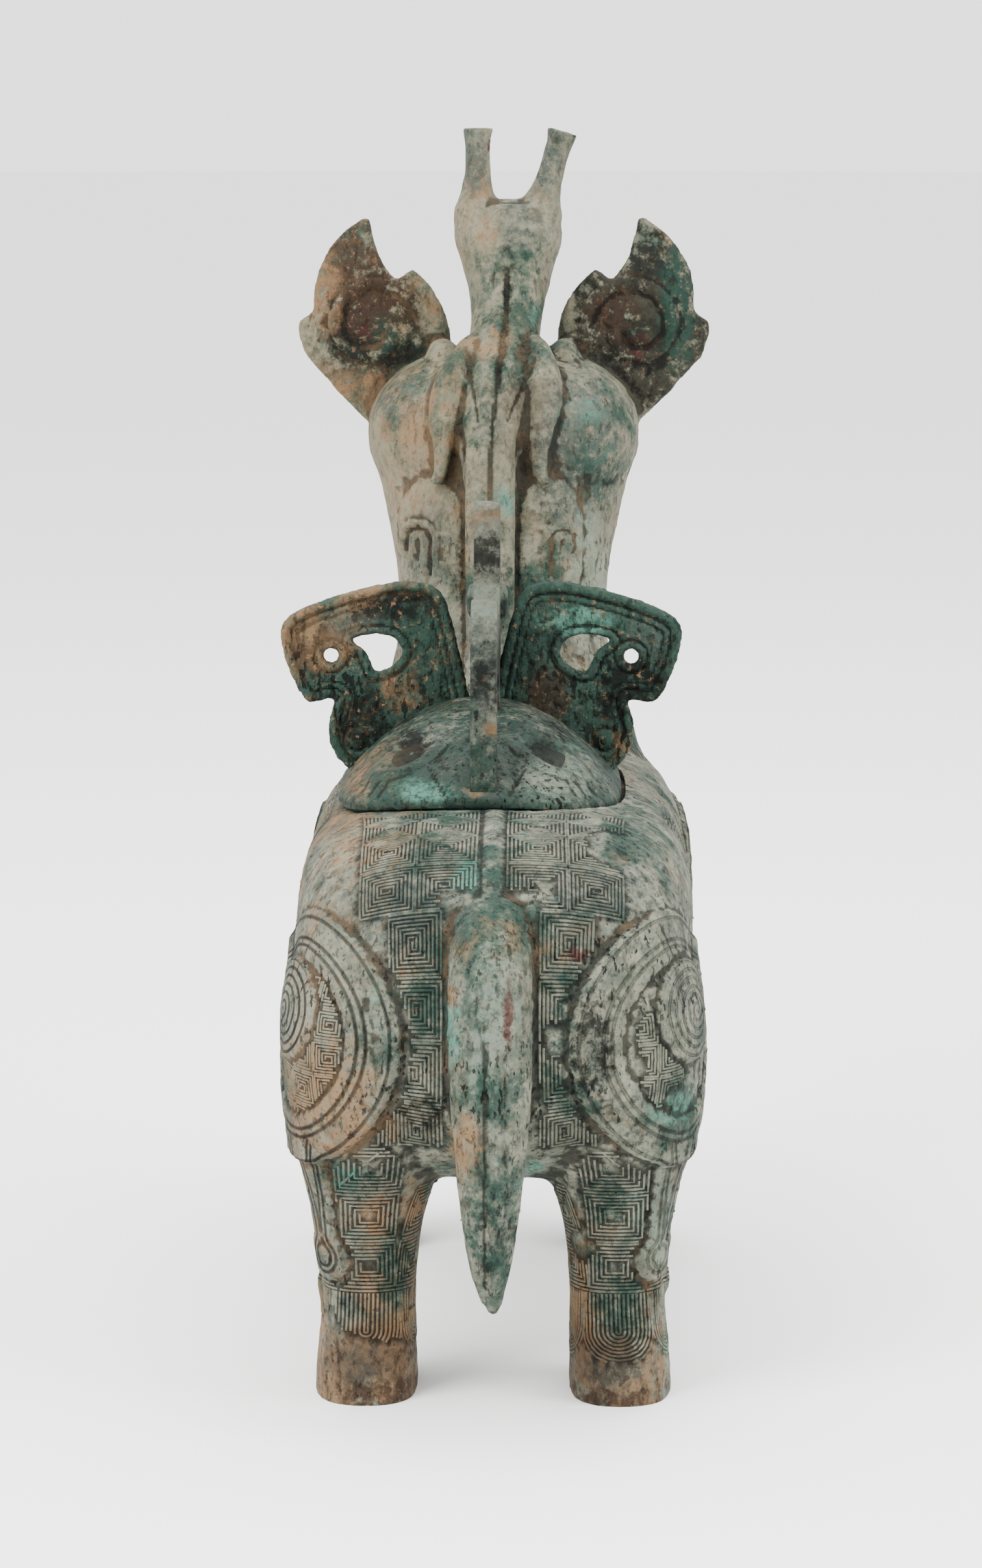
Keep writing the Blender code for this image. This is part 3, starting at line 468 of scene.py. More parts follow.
def bodyRelief(p):
    x, y, z = p.T
    side = np.abs(x)
    hind = haunchRelief(p, haunchForm["hind"])
    fore = haunchRelief(p, haunchForm["fore"])
    onTail = (1 - softStep(side, 12, 13)) * (1 - softStep(y, -172, -166))
    onTrunk = softStep(z, 60, 66) * (1 - softStep(z, 152, 157)) * softStep(side, 12, 17)
    total = hind * onTrunk * (1 - softStep(y, -84, -76))
    total += fore * onTrunk * softStep(y, 8, 16)
    total += plumeRelief(p, plumeForm["hind"]) * (1 - softStep(y, -90, -80))
    total += plumeRelief(p, plumeForm["fore"]) * softStep(y, 20, 28) * (1 - softStep(y, 110, 116))
    spine = softStripe(x, 0.3, 2.4, 0.9) * softStep(z, 126, 136) * (1 - softStep(y, -110, -104))
    total += 0.7 * spine * (1 - onTail)
    tailRidge = 0.9 * softStripe(x, 1.4, 1.8, 1.2) - 0.5 * softStripe(x, -1.2, 0.7, 0.7)
    total += tailRidge * onTail * (1 - softStep(z, 96, 128))
    # the nape, and the beast's keeled back between its lobes
    x = x - beastBend(z)
    side = np.abs(x)
    nape = (1 - softStep(y, 62, 70)) * softStep(side, 7.5, 9.5)
    lobeX, lobeZ = napeForm["lobe"]
    tall = np.where(z > lobeZ, (z - lobeZ) / napeForm["lobeUp"], (lobeZ - z) / napeForm["lobeDown"])
    lobe = np.hypot((side - lobeX) / napeForm["lobeHalf"], tall)
    total += 1.3 * (1 - softStep(lobe, 0.78, 1.04)) * nape * softStep(z, 194, 214)
    (hookX, hookZ), far = napeForm["hook"], napeForm["far"]
    bow = np.abs(np.hypot(side - hookX, z - hookZ) - napeForm["hookRadius"])
    inner, outer = (
        np.abs(side - at) + far * (z < end) for at, end in zip(napeForm["hookSides"], napeForm["hookEnds"])
    )
    hook = np.minimum(np.where(z > hookZ, bow, inner), np.where(z > hookZ, far, outer))
    clear = nape * (1 - 0.6 * softStep(x, 0, 8))
    total += (0.6 * softStripe(hook, 1.7, 0.7, 0.6) - 0.9 * (1 - softStep(hook, 0.5, 1.1))) * clear
    back = softStep(z, 176, 184) * (1 - softStep(z, 300, 308)) * (1 - softStep(y, 66, 74))
    strip = softStripe(side, 0, 7.2, 0.6) * (1 - softStep(z, 250, 262))
    total += (0.9 * strip - 0.5 * softStripe(side, 8.4, 0.8, 0.6) * (1 - softStep(z, 250, 262))) * back
    keel = -0.8 * softStripe(x, 0, 0.9, 0.8) + 0.4 * softStripe(side, 2.8, 1.0, 0.8)
    total += keel * back * softStep(z, 222, 230)
    folds = softStripe(side - 0.30 * (z - 262), 5.2, 0.7, 0.6)
    folds *= softStep(z, 258, 264) * (1 - softStep(z, 280, 288))
    total -= 0.6 * folds * back
    # a curl in the hollow of each ear, on the side that faces the rear
    side, fades = np.abs(p[:, 0]), earForm["curlFades"]
    u, v = side - earForm["middle"][0], z - earForm["middle"][1]
    away = np.hypot(u, v)
    hollow = earForm["y"] - earForm["dish"] * (1 - np.minimum(away / earForm["radius"], 1) ** 2)
    inEar = (1 - softStep(y - hollow, -0.6, 0.2)) * softStep(y, *fades["y"]) * softStep(side, *fades["x"])
    inEar *= softStep(z, *fades["z"])
    curl = away - earForm["curlOpens"] * (np.arctan2(v, u) + math.pi) - earForm["curlStart"]
    rise, sink = earForm["curlHeights"]
    curls = rise * softStripe(curl, *earForm["curlRidge"]) - sink * softStripe(curl, *earForm["curlGroove"])
    total += curls * inEar
    # eyes, nostrils and the mouth line on the head
    onHead = softStep(y, 106, 110) * softStep(z, 226, 230)
    (eyeY, eyeZ), (eyeLong, eyeTall) = faceForm["eye"], faceForm["eyeHalf"]
    eye = np.hypot((y - eyeY) / eyeLong, (z - eyeZ) / eyeTall)
    total += onHead * (3.0 * (1 - softStep(eye, 0.7, 1.0)) - softStripe(eye, 1.2, 0.14, 0.1))
    total -= 1.6 * softStripe(z - 0.06 * (y - 155), faceForm["mouthZ"], 1.1, 0.7) * softStep(y, 140, 146)
    nostrilX, nostrilZ = faceForm["nostril"]
    nostril = np.hypot(side - nostrilX, (z - nostrilZ) * 1.2)
    total -= 1.8 * (1 - softStep(nostril, 2.2, 4.0)) * softStep(y, 172, 176)
    return total


def crust(p):
    # uneven casting and corrosion: rougher on the right
    rough = 0.16 + 0.16 * softStep(p[:, 0], -10, 40)
    return lumps(p, 5.0, 1) * rough + lumps(p, 26.0, 2, 2) * 0.3


def makeTrunk(name, inset=0.0):
    rows, count = smoothRows(vesselForm["trunk"]), vesselForm["trunkSides"]
    first, last = rows[0, 0], rows[-1, 0]
    share, middle = 1 - 2 * inset / ((last - first) * unit), (first + last) / 2 * unit
    rings = []
    for y, bottom, top, halfWidth, upper, lower in rows:
        halfHeight = max((top - bottom) / 2 * unit - inset, unit)
        u, v = roundedLoop(max(halfWidth * unit - inset, unit), halfHeight, upper, count, lower)
        along = np.full(count, middle + (y * unit - middle) * share)
        rings.append(np.column_stack([u, along, v + (top + bottom) / 2 * unit]))
    return ringMesh(name, rings)


def makeHorn(side):
    footX, footY, footZ = beastForm["hornFoot"]
    tilt = math.radians(beastForm["hornLeans"][side])
    foot = Vector((beastForm["shift"] + side * footX, footY, footZ))
    along = Vector((side * math.sin(tilt), 0, math.cos(tilt)))
    across = Vector((math.cos(tilt), 0, -side * math.sin(tilt)))
    rings = []
    for distance, radius in smoothRows(beastForm["horn"], 4):
        u, v = roundedLoop(radius, radius, 2, 28)
        rings.append([(foot + along * distance + across * a + Vector((0, b, 0))) * unit for a, b in zip(u, v)])
    return ringMesh("beastHorn", rings)


def beastBend(z):
    # x of the small beast's middle line
    leans, low, high = beastForm["bend"]
    return leans + (beastForm["shift"] - leans) * softStep(z, low, high)


def makeEar(side):
    ear = plateMesh("ear", [earForm["outline"]], earForm["thickness"], earForm["voxel"])
    middle, radius = Vector(earForm["middle"]) * unit, earForm["radius"] * unit

    def place(u, v, w):
        away = min(1.0, math.hypot(u - middle.x, v - middle.y) / radius)
        return Vector((side * u, earForm["y"] * unit + w - earForm["dish"] * unit * (1 - away**2), v))

    return turnPlate(ear, place)


def makeVesselSkin():
    parts = [makeTrunk("trunk")]
    parts += [tubeMesh(name, [(0, *row) for row in vesselForm[name]]) for name in ("neck", "head")]
    for side in (-1, 1):
        for name in ("hindLeg", "foreLeg"):
            rows = [(side * x, y, z, width, depth) for z, x, y, width, depth in vesselForm[name]]
            parts.append(tubeMesh(name, rows, power=2.4))
    core = oneSkin("core", parts, vesselForm["coreVoxel"], 14)
    details = [core, tubeMesh("tail", [(0, *row) for row in vesselForm["tail"]], power=2.0)]
    details.append(tubeMesh("beastBack", [(beastBend(row[1]), *row) for row in beastForm["back"]]))
    details.append(tubeMesh("beastHead", [(beastForm["shift"], *row) for row in beastForm["head"]], power=2.1))
    for side in (-1, 1):
        details.append(makeHorn(side))
        details.append(makeEar(side))
        rows = [(side * row[0] + beastBend(row[2]), *row[1:]) for row in beastForm["limb"]]
        details.append(tubeMesh("beastLimb", rows))
        (x, y, z), halfSizes = beastForm["arm"]
        details.append(ballMesh("beastArm", (side * x, y, z), halfSizes))
    details += [ballMesh("spur", middle, halfSizes) for middle, halfSizes in vesselForm["spurs"]]
    skin = oneSkin("vesselBronze", details, vesselForm["skinVoxel"], 5)
    raiseSurface(skin, bodyRelief)
    raiseSurface(skin, crust)
    return reduced(skin, vesselForm["skinTriangles"])


lidForm = {
    "middle": (-5.0, -42.0),
    "halfLength": 62.0,
    "halfWidth": 41.0,
    "squareness": 3.5,
    "dome": 21.0,
    "curve": 2.1,
    "lip": 3.0,
    "lipInset": 0.0003,
    "seatZ": 161.0,
    "seatSag": 3.5,
    "wall": 0.0040,
    "gap": 0.0003,
    "sideClearance": 0.0015,
    "chamfer": 0.0010,
    "ledge": 0.0075,
    "flange": {"depth": 0.0090, "wall": 0.0030, "clearance": 0.0012},
    "count": 320,
    # rings over the dome: share of the half size at the first and the last, and how many
    "rings": (0.988, 0.03, 84),
    "eye": (20.0, 163.8),
    "eyeSize": (8.4, 3.0),
    "eyeSlant": 28.0,
    "tilt": 0.14,
}


def seatHeight(x):
    share = (x - lidForm["middle"][0] * unit) / (lidForm["halfWidth"] * unit)
    return lidForm["seatZ"] * unit - lidForm["seatSag"] * unit * np.clip(share, -1.2, 1.2) ** 2


def lidRing(offset, rise, count, scale=1.0):
    u, v = roundedLoop(
        lidForm["halfWidth"] * unit - offset, lidForm["halfLength"] * unit - offset, lidForm["squareness"], count
    )
    u = u * scale + lidForm["middle"][0] * unit
    return np.column_stack([u, v * scale + lidForm["middle"][1] * unit, seatHeight(u) + rise])


def seatCutter(name, offset, low, high):
    return ringMesh(name, [lidRing(offset, low * unit, 90), lidRing(offset, high * unit, 90)])


def hollowOut(vessel):
    wall = vesselForm["wall"]
    hollow = [makeTrunk("trunkHollow", wall)]
    hollow.append(tubeMesh("neckHollow", [(0, *row) for row in vesselForm["neck"]], wall + 2 * unit))
    hollow.append(tubeMesh("headHollow", [(0, *row) for row in vesselForm["head"][2:8]], wall + 2 * unit))
    ground = bmesh.new()
    bmesh.ops.create_cube(ground, size=1.0)
    bmesh.ops.translate(ground, vec=(0, 0, -0.5), verts=ground.verts)
    cut(vessel, seatCutter("seat", -lidForm["sideClearance"], 0, 60))
    cut(vessel, seatCutter("mouth", lidForm["ledge"], -30, 30))
    hollowSkin = oneSkin("hollow", hollow, vesselForm["hollowVoxel"], 4)
    cut(vessel, reduced(hollowSkin, vesselForm["hollowTriangles"]))
    cut(vessel, meshObject("ground", ground))


def markHaunches(obj):
    # flat coordinates for the lines of the haunch scrolls and the leg plumes
    points, _ = readPoints(obj.data)
    p = points / unit
    flat, plume, shown = np.zeros((len(p), 2)), np.full(len(p), 9.0), np.zeros(len(p))
    for name, there in (("hind", p[:, 1] < -30), ("fore", p[:, 1] >= -30)):
        u, v, r = haunchPlane(p[there], haunchForm[name])
        flat[there] = np.column_stack([u, v]) * np.minimum(1, 70 / np.maximum(r, 1))[:, None]
        onTrunk = softStep(p[there, 2], 60, 66) * softStep(np.abs(p[there, 0]), 12, 17)
        shown[there] = (1 - softStep(r, haunchForm["edge"], haunchForm["clear"])) * onTrunk
        inside, facing = plumeDistance(p[there], plumeForm[name])
        onPlume = (facing > 2) & (p[there, 2] < plumeForm["top"] - 5)
        plume[there] = np.where(onPlume, np.maximum(inside, -9), 9)
    marks = {"haunchU": flat[:, 0], "haunchV": flat[:, 1], "haunchShown": shown, "plume": plume}
    for name, values in marks.items():
        setShare(obj, name, values)


vessel = makeVesselSkin()
corners = [face.vertices for face in vessel.data.polygons]
skinTree = BVHTree.FromPolygons([vert.co for vert in vessel.data.vertices], corners)
hollowOut(vessel)
wornHollows(vessel)
markHaunches(vessel)
print("vessel made:", len(vessel.data.polygons), "faces")


def lidRelief(p):
    # the mask on the rear of the lid: slanted eyes, brows, cheek lines and a muzzle
    side = np.abs(p[:, 0] - lidForm["middle"][0])
    seen = p[:, 2] + lidForm["tilt"] * p[:, 1]
    lipTop = lidForm["seatZ"] + lidForm["lip"]
    shown = softStep(p[:, 2], lipTop - 2, lipTop + 1) * (1 - softStep(p[:, 1], -58, -50))
    slant = math.radians(lidForm["eyeSlant"])
    u, v = side - lidForm["eye"][0], seen - lidForm["eye"][1]
    along = u * math.cos(slant) - v * math.sin(slant)
    across = u * math.sin(slant) + v * math.cos(slant)
    halfLong, halfTall = lidForm["eyeSize"]
    eye = np.hypot(along / halfLong, (across + 0.012 * along**2) / halfTall)
    total = 0.5 * (1 - softStep(eye, 0.1, 0.45)) - 1.7 * (1 - softStep(eye, 0.5, 1.15))
    near = 1 - softStep(np.abs(along), 9, 15)
    total += 0.9 * softStripe(across, 5.2 - 0.014 * along**2, 1.3, 1.0) * near
    total -= 0.5 * softStripe(across, 7.4 - 0.014 * along**2, 0.6, 0.5) * near
    total += 0.7 * softStripe(across, -4.8 + 0.016 * along**2, 0.9, 0.8) * near
    total += 1.2 * (1 - softStep(side, 6, 11)) * (1 - softStep(seen, 166, 171))
    total -= 0.6 * softStripe(side - 0.6 * (seen - 156), 12.0, 0.6, 0.5) * (1 - softStep(seen, 156, 160))
    cheek = softStep(side, 24, 27) * (1 - softStep(side, 38, 40)) * (1 - softStep(eye, 1.9, 1.4))
    total += 0.30 * np.cos(2 * math.pi * (side + 0.7 * seen) / 3.0) * cheek
    return total * shown


def makeLidDome():
    count, gap, lip = lidForm["count"], lidForm["gap"], lidForm["lip"] * unit
    flange, middle = lidForm["flange"], Vector((*lidForm["middle"], lidForm["seatZ"])) * unit

    def rise(share):
        return lidForm["dome"] * unit * (1 - share ** lidForm["curve"])

    chamfer = lidForm["chamfer"]
    over = [lidRing(0, gap + chamfer, count), lidRing(0, gap + lip * 0.7, count)]
    over.append(lidRing(lidForm["lipInset"], gap + lip, count))
    over += [lidRing(0, gap + lip + rise(share), count, share) for share in np.linspace(*lidForm["rings"])]
    flangeOut = lidForm["ledge"] + flange["clearance"]
    flangeIn = flangeOut + flange["wall"]
    foot = gap - flange["depth"]
    corners = ((chamfer, gap), (flangeOut, gap), (flangeOut, foot), (flangeIn, foot))
    under = [lidRing(inset, height, count) for inset, height in corners]
    inner = 1 - flangeIn / (lidForm["halfWidth"] * unit)
    for share in np.linspace(1, 0.1, 9):
        under.append(lidRing(flangeIn, gap + lip - lidForm["wall"] + rise(share * inner), count, share))
    top = middle + Vector((0, 0, gap + lip + rise(0)))
    floor = middle + Vector((0, 0, gap + lip - lidForm["wall"] + rise(0)))
    lid = ringMesh("lidBronze", under[::-1] + over, (floor, top))
    raiseSurface(lid, lidRelief)
    points, _ = readPoints(lid.data)
    p = points / unit
    # the crust stays off the lip's underside and the flange, which have to fit the seat
    free = softStep(p[:, 2] - seatHeight(points[:, 0]) / unit, 1.5, 3.0)
    raiseSurface(lid, lambda q: (lumps(q, 5.0, 3) * 0.16 + lumps(q, 20.0, 4, 2) * 0.2) * free)
    return lid


hornForm = {
    # x from the lid's middle line, z
    "outline": [
        (3, 176), (4, 186), (6.5, 198), (9.5, 210), (12.3, 216), (17, 218.2), (24, 218.6), (32, 217.2),
        (42.6, 214.4), (51.7, 211), (56.6, 208), (58.6, 204.5), (57.9, 198.5), (55.4, 191), (51.8, 184.6),
        (49.4, 183.4), (43, 184.2), (44.4, 178.5), (44.4, 172), (42.6, 167.8), (40.4, 165.2), (37, 163),
        (28, 167), (16, 172),
    ],
    "opening": [
        (38, 201.6), (34.9, 203), (30.3, 203.4), (26.2, 202.8), (23.6, 200.3), (23, 197.6), (24.6, 195),
        (27.9, 192.8), (31.2, 192.4), (32.6, 195.4), (34.2, 198.4),
    ],
    "eye": (43.9, 197.0, 2.3),
    "lobe": (36.4, 172.6),
    "thickness": 0.0048,
    "y": -34,
    "voxel": 0.00075,
}


def smoothLoop(outline, steps=3):
    curve = smoothRows([outline[-1], *outline, outline[0], outline[1]], steps)
    return curve[steps : steps * (len(outline) + 1)]


def loopDistance(points, loop):
    near = np.full(len(points), 1e9)
    for start, end in zip(loop, np.roll(loop, -1, axis=0)):
        span = end - start
        t = np.clip((points - start) @ span / (span @ span), 0, 1)
        near = np.minimum(near, np.linalg.norm(points - start - t[:, None] * span, axis=1))
    return near


def makeHorns():
    x, z, radius = hornForm["eye"]
    eye = np.column_stack(roundedLoop(radius, radius, 2, 18)) + (x, z)
    loops = [smoothLoop(hornForm["outline"]), smoothLoop(hornForm["opening"]), eye]
    horns = []
    for side in (-1, 1):
        horn = plateMesh("horn", loops, hornForm["thickness"], hornForm["voxel"])
        points, normals = readPoints(horn.data)
        p = points[:, :2] / unit
        rim, hole = loopDistance(p, loops[0]), np.minimum(loopDistance(p, loops[1]), loopDistance(p, loops[2]))
        lobe = np.hypot(p[:, 0] - hornForm["lobe"][0], p[:, 1] - hornForm["lobe"][1])
        height = 0.55 * softStripe(rim, 1.5, 0.9, 0.5) - 0.75 * softStripe(rim, 3.1, 0.4, 0.4)
        height += -0.55 * softStripe(rim, 5.2, 0.4, 0.4) * softStep(hole, 2.2, 3.2)
        height += 0.55 * softStripe(hole, 1.2, 0.7, 0.5) - 0.7 * softStripe(hole, 2.6, 0.4, 0.4)
        height -= 0.8 * softStripe(lobe, 3.4, 0.5, 0.4)
        height += 0.6 * (1 - softStep(lobe, 1.2, 2.2))
        flat = np.abs(normals[:, 2]) > 0.6
        rough = lumps(points / unit, 2.6, 6 + side, 4) * 0.34
        points[:, 2] += np.where(flat, np.sign(normals[:, 2]) * height * unit, 0)
        writePoints(horn, points + normals * rough[:, None] * unit)

        def place(u, v, w):
            return Vector((lidForm["middle"][0] * unit + side * u, hornForm["y"] * unit + w, v))

        horns.append(turnPlate(horn, place))
    return joined("hornPlates", horns)


birdForm = {
    # y, z from the side
    "outline": [
        (-103, 164.5), (-102, 177), (-100, 192), (-97, 206), (-92, 214.5), (-85, 218.5), (-76, 217.5),
        (-68, 213), (-60, 209), (-52, 208.5), (-46, 213), (-43.5, 222), (-42, 233), (-38.5, 240), (-34.5, 242.6),
        (-30.5, 240.5), (-28.5, 233), (-27, 225), (-21, 220), (-12, 216.5), (-5.5, 210.5), (-4.5, 204.5),
        (-11, 207.5), (-18, 206), (-22, 200), (-24, 193.5), (-29, 189), (-31, 180), (-54, 180), (-59, 190),
        (-67, 197), (-76, 203), (-84, 205), (-88.5, 200), (-91.5, 189), (-92.5, 178), (-92, 168),
    ],
    "x": -3.2,
    "thickness": 0.0084,
    "voxel": 0.0008,
    "eye": (-29, 212.5, 5.2),
    "eyeProud": 2.2,
    # rounded ends of the eyes' pin: share of its half length, share of its radius
    "eyeEnds": [(1, 0.4), (0.97, 0.62), (0.86, 0.9), (0.7, 1)],
}


def makeBird():
    outline = smoothLoop(birdForm["outline"], 2)
    bird = plateMesh("birdKnob", [outline], birdForm["thickness"], birdForm["voxel"])
    turnPlate(bird, lambda u, v, w: Vector((birdForm["x"] * unit + w, u, v)))
    y, z, radius = birdForm["eye"]
    half = birdForm["thickness"] / 2 + birdForm["eyeProud"] * unit
    ends, rings = birdForm["eyeEnds"], []
    for share, width in [(-share, width) for share, width in ends] + ends[::-1]:
        u, v = roundedLoop(radius * width, radius * width, 2, 30)
        rings.append([(birdForm["x"] * unit + half * share, (y + a) * unit, (z + b) * unit) for a, b in zip(u, v)])
    return joined("birdKnob", [bird, ringMesh("birdEyes", rings)])


lid = makeLidDome()
horns = makeHorns()
bird = makeBird()
for piece in (lid, horns):
    wornHollows(piece)
print("lid made:", [len(piece.data.polygons) for piece in (lid, horns, bird)], "faces")


# Thread relief: square spirals of fine ridges, drawn flat and laid on the bronze by rays.
threadForm = {
    "pitch": 1.12,
    "radius": 0.42,
    "sunk": 0.12,
    "step": 2.2,
    "flankStep": 3.6,
    "split": 1.6,  # a run ends where two points are further apart than this many steps
    "sides": 5,
    # threads stay where the noise of this scale is below "worn", and fewer on the right from x and z up
    "wearScale": 0.055,
    "worn": 0.62,
    "wornRight": 0.12,
    "wornRightFrom": ((4, 16), (76, 90)),
    "reach": 1.5,
}


def squareSpiral(midU, midV, halfU, halfV, flip):
    # one line that winds inwards in a square; flip is 1 or -1 and says which way
    pitch, left, right, low, high = threadForm["pitch"], -halfU, halfU, -halfV, halfV
    points = [(left, low)]
    while right - left > pitch and high - low > pitch:
        points.append((right, low))
        low += pitch
        points.append((right, high))
        right -= pitch
        points.append((left, high))
        high -= pitch
        points.append((left, low))
        left += pitch
    return [(midU + flip * u, midV + v) for u, v in points]


def nestedBows(middle, low, high, half):
    # U-shaped lines, one inside the other, open at the top
    lines = []
    for radius in np.arange(half, 0.3, -threadForm["pitch"]):
        turns = np.linspace(0, math.pi, 11)
        bow = [(middle - radius * math.cos(a), low + half - radius * math.sin(a)) for a in turns]
        lines.append([(bow[0][0], high), *bow, (bow[-1][0], high)])
    return lines


def fineSteps(line, step):
    points = []
    for start, end in zip(line, line[1:]):
        count = max(1, round(math.dist(start, end) / step))
        for k in range(count):
            points.append(tuple(a + (b - a) * k / count for a, b in zip(start, end)))
    return [*points, line[-1]]


def layThreads(lines, rayAt, allowed, step=threadForm["step"]):
    # drawn lines as runs of points on the skin, without the places that are bare or worn
    runs = []
    for line in lines:
        points = []
        for u, v in fineSteps(line, step):
            origin, direction = rayAt(u, v)
            found, normal, _, _ = skinTree.ray_cast(Vector(origin) * unit, Vector(direction).normalized())
            points.append((np.nan,) * 6 if found is None else (*found, *normal))
        points = np.array(points)
        p = points[:, :3] / unit
        good = ~np.isnan(p[:, 0])
        good[good] &= allowed(p[good])
        scale, (fromX, fromZ) = threadForm["wearScale"], threadForm["wornRightFrom"]
        wear = np.array([noise.noise(Vector(q) * scale) if ok else 0 for q, ok in zip(p, good)])
        onRight = softStep(p[:, 0], *fromX) * softStep(p[:, 2], *fromZ)
        limit = threadForm["worn"] + (threadForm["wornRight"] - threadForm["worn"]) * onRight
        good &= wear < np.nan_to_num(limit)
        laid = points[:, :3] - points[:, 3:] * threadForm["sunk"] * unit
        gaps = np.linalg.norm(np.diff(laid, axis=0), axis=1) > threadForm["split"] * step * unit
        for part in np.split(np.arange(len(good)), np.flatnonzero(np.diff(good) | gaps) + 1):
            if good[part[0]] and len(part) > 2:
                runs.append(laid[part])
    return runs


def offHaunch(p, name):
    _, _, r = haunchPlane(p, haunchForm[name])
    near = p[:, 1] < -78 if name == "hind" else p[:, 1] > 8
    return ~((r < haunchForm["clear"]) & near & (np.abs(p[:, 0]) > 12))


def offTail(p):
    return ~((np.abs(p[:, 0]) < 13.2) & (p[:, 1] < -160) & (p[:, 2] < 148))


rumpPattern = {
    "axis": (-122.0, 108.0),
    "radius": 54.0,
    # squares: distance from the spine, distance back over the rump, half sizes
    "squares": [
        *[(across, back, 8.0, 7.6) for back in (-6.5, 9.4, 25.3, 41.2) for across in (12.2, 28.8)],
        *[(20.4, back, 7.3, 8.4) for back in (57.8, 75.4, 93.0, 110.6)],
        *[(36.0, back, 7.4, 8.4) for back in (110.6, 93.0)],
    ],
    "bareSpine": 3.8,
    "bottom": 78,
    "offLid": 2.5,
}
legPattern = {
    # squares down a leg and bows over its hoof, at these turns in degrees from the rear, outwards positive
    "turns": (-178, -118, -58, 0, 60, 120),
    "heights": (70, 55, 40.2),
    "halfSizes": (7.2, 7.0),
    "bowTurns": (-144, -72, 0, 72, 144),
    "bow": (12.0, 32.6, 9.4),
    "bareHoof": {-1: 19.0, 1: 10.5},
    "hoofTilt": (0.3, -34),
    # where the relief ends at the top; it ends lower between the legs, by so much for each unit
    "top": 77,
    "topFalls": (28, 1.1),
    "inside": 17,
    "curve": 1.12,
}
flankPattern = {
    "columns": (-70, -54, -38, -22, -6, 10),
    "rows": (82, 98, 114, 130, 146),
    "halfSizes": (7.6, 7.6),
    "heights": (68, 154),
}


def rumpThreads():
    axisY, axisZ = rumpPattern["axis"]
    radius = rumpPattern["radius"]
    lidEdge = lidForm["middle"][1] - lidForm["halfLength"] - rumpPattern["offLid"]

    def rayAt(u, v):
        turn = v / radius
        return (0.5 * u, axisY, axisZ), (0.5 * u / radius, -math.sin(turn), math.cos(turn))

    def allowed(p):
        onRump = (np.abs(p[:, 0]) > rumpPattern["bareSpine"]) & (p[:, 2] > rumpPattern["bottom"])
        return onRump & offTail(p) & offHaunch(p, "hind") & (p[:, 1] < lidEdge)

    lines = []
    for side in (-1, 1):
        for index, (across, back, halfU, halfV) in enumerate(rumpPattern["squares"]):
            lines.append(squareSpiral(side * across, back, halfU, halfV, side if index % 2 else -side))
    return layThreads(lines, rayAt, allowed)


def legThreads(name, side):
    rows = smoothRows(vesselForm[name + "Leg"])[::-1]
    spec = plumeForm[name]
    halfU, halfV = legPattern["halfSizes"]

    def rayFor(turn):
        def rayAt(u, v):
            x, y, radius = (np.interp(v, rows[:, 0], rows[:, k]) for k in (1, 2, 3))
            angle = math.radians(turn) + u / (radius * legPattern["curve"])
            return (side * x, y, v), (side * math.sin(angle), -math.cos(angle), 0)

        return rayAt

    def allowed(p):
        x, _, z = p.T
        inside, facing = plumeDistance(p, spec)
        (fallsFrom, falls), (tilt, tiltX) = legPattern["topFalls"], legPattern["hoofTilt"]
        top = legPattern["top"] - falls * np.maximum(fallsFrom - np.abs(x), 0)
        hoof = legPattern["bareHoof"][side] - tilt * (x - tiltX)
        onLeg = (z < top) & (np.abs(x) > legPattern["inside"]) & (z > hoof)
        return onLeg & ((inside > 1.2) | (facing < 2)) & offHaunch(p, name) & offTail(p)

    runs = []
    for index, turn in enumerate(legPattern["turns"]):
        flip = 1 if index % 2 else -1
        lines = [squareSpiral(0, height, halfU, halfV, flip) for height in legPattern["heights"]]
        runs += layThreads(lines, rayFor(turn), allowed)
    for turn in legPattern["bowTurns"]:
        runs += layThreads(nestedBows(0, *legPattern["bow"]), rayFor(turn), allowed)
    return runs


def haunchThreads(name, side):
    spec = haunchForm[name]
    y, z = spec["middle"]
    yaw, edge, wider = math.radians(spec["yaw"][side > 0]), haunchForm["edge"], haunchForm["wider"]
    half, step, (reachU, reachV) = haunchForm["squareHalf"], haunchForm["squareStep"], haunchForm["squareReach"]
    out = np.array([math.cos(yaw), math.sin(yaw), 0.0])
    ahead = np.array([-math.sin(yaw), math.cos(yaw), 0.0])

    def rayAt(u, v):
        u, v = u * wider, v / wider
        r = max(math.hypot(u, v), 1e-6)
        angle = r / edge * math.radians(spec["spread"])
        aim = out * math.cos(angle) + (ahead * u / r + np.array([0, 0, v / r])) * math.sin(angle)
        return (side * spec["inside"], y, z), (side * aim[0], aim[1], aim[2])

    def allowed(p):
        u, v, r = haunchPlane(p, spec)
        coil = np.hypot(u - haunchForm["coilMiddle"][0], v - haunchForm["coilMiddle"][1])
        return (r < haunchForm["squaresEnd"]) & (coil > haunchForm["coilRadius"] + haunchForm["offCoil"])

    columns, rows = (range(-reach, reach + 1, step) for reach in (reachU, reachV))
    lines = [squareSpiral(u, v, half, half, side) for u in columns for v in rows]
    return layThreads(lines, rayAt, allowed)


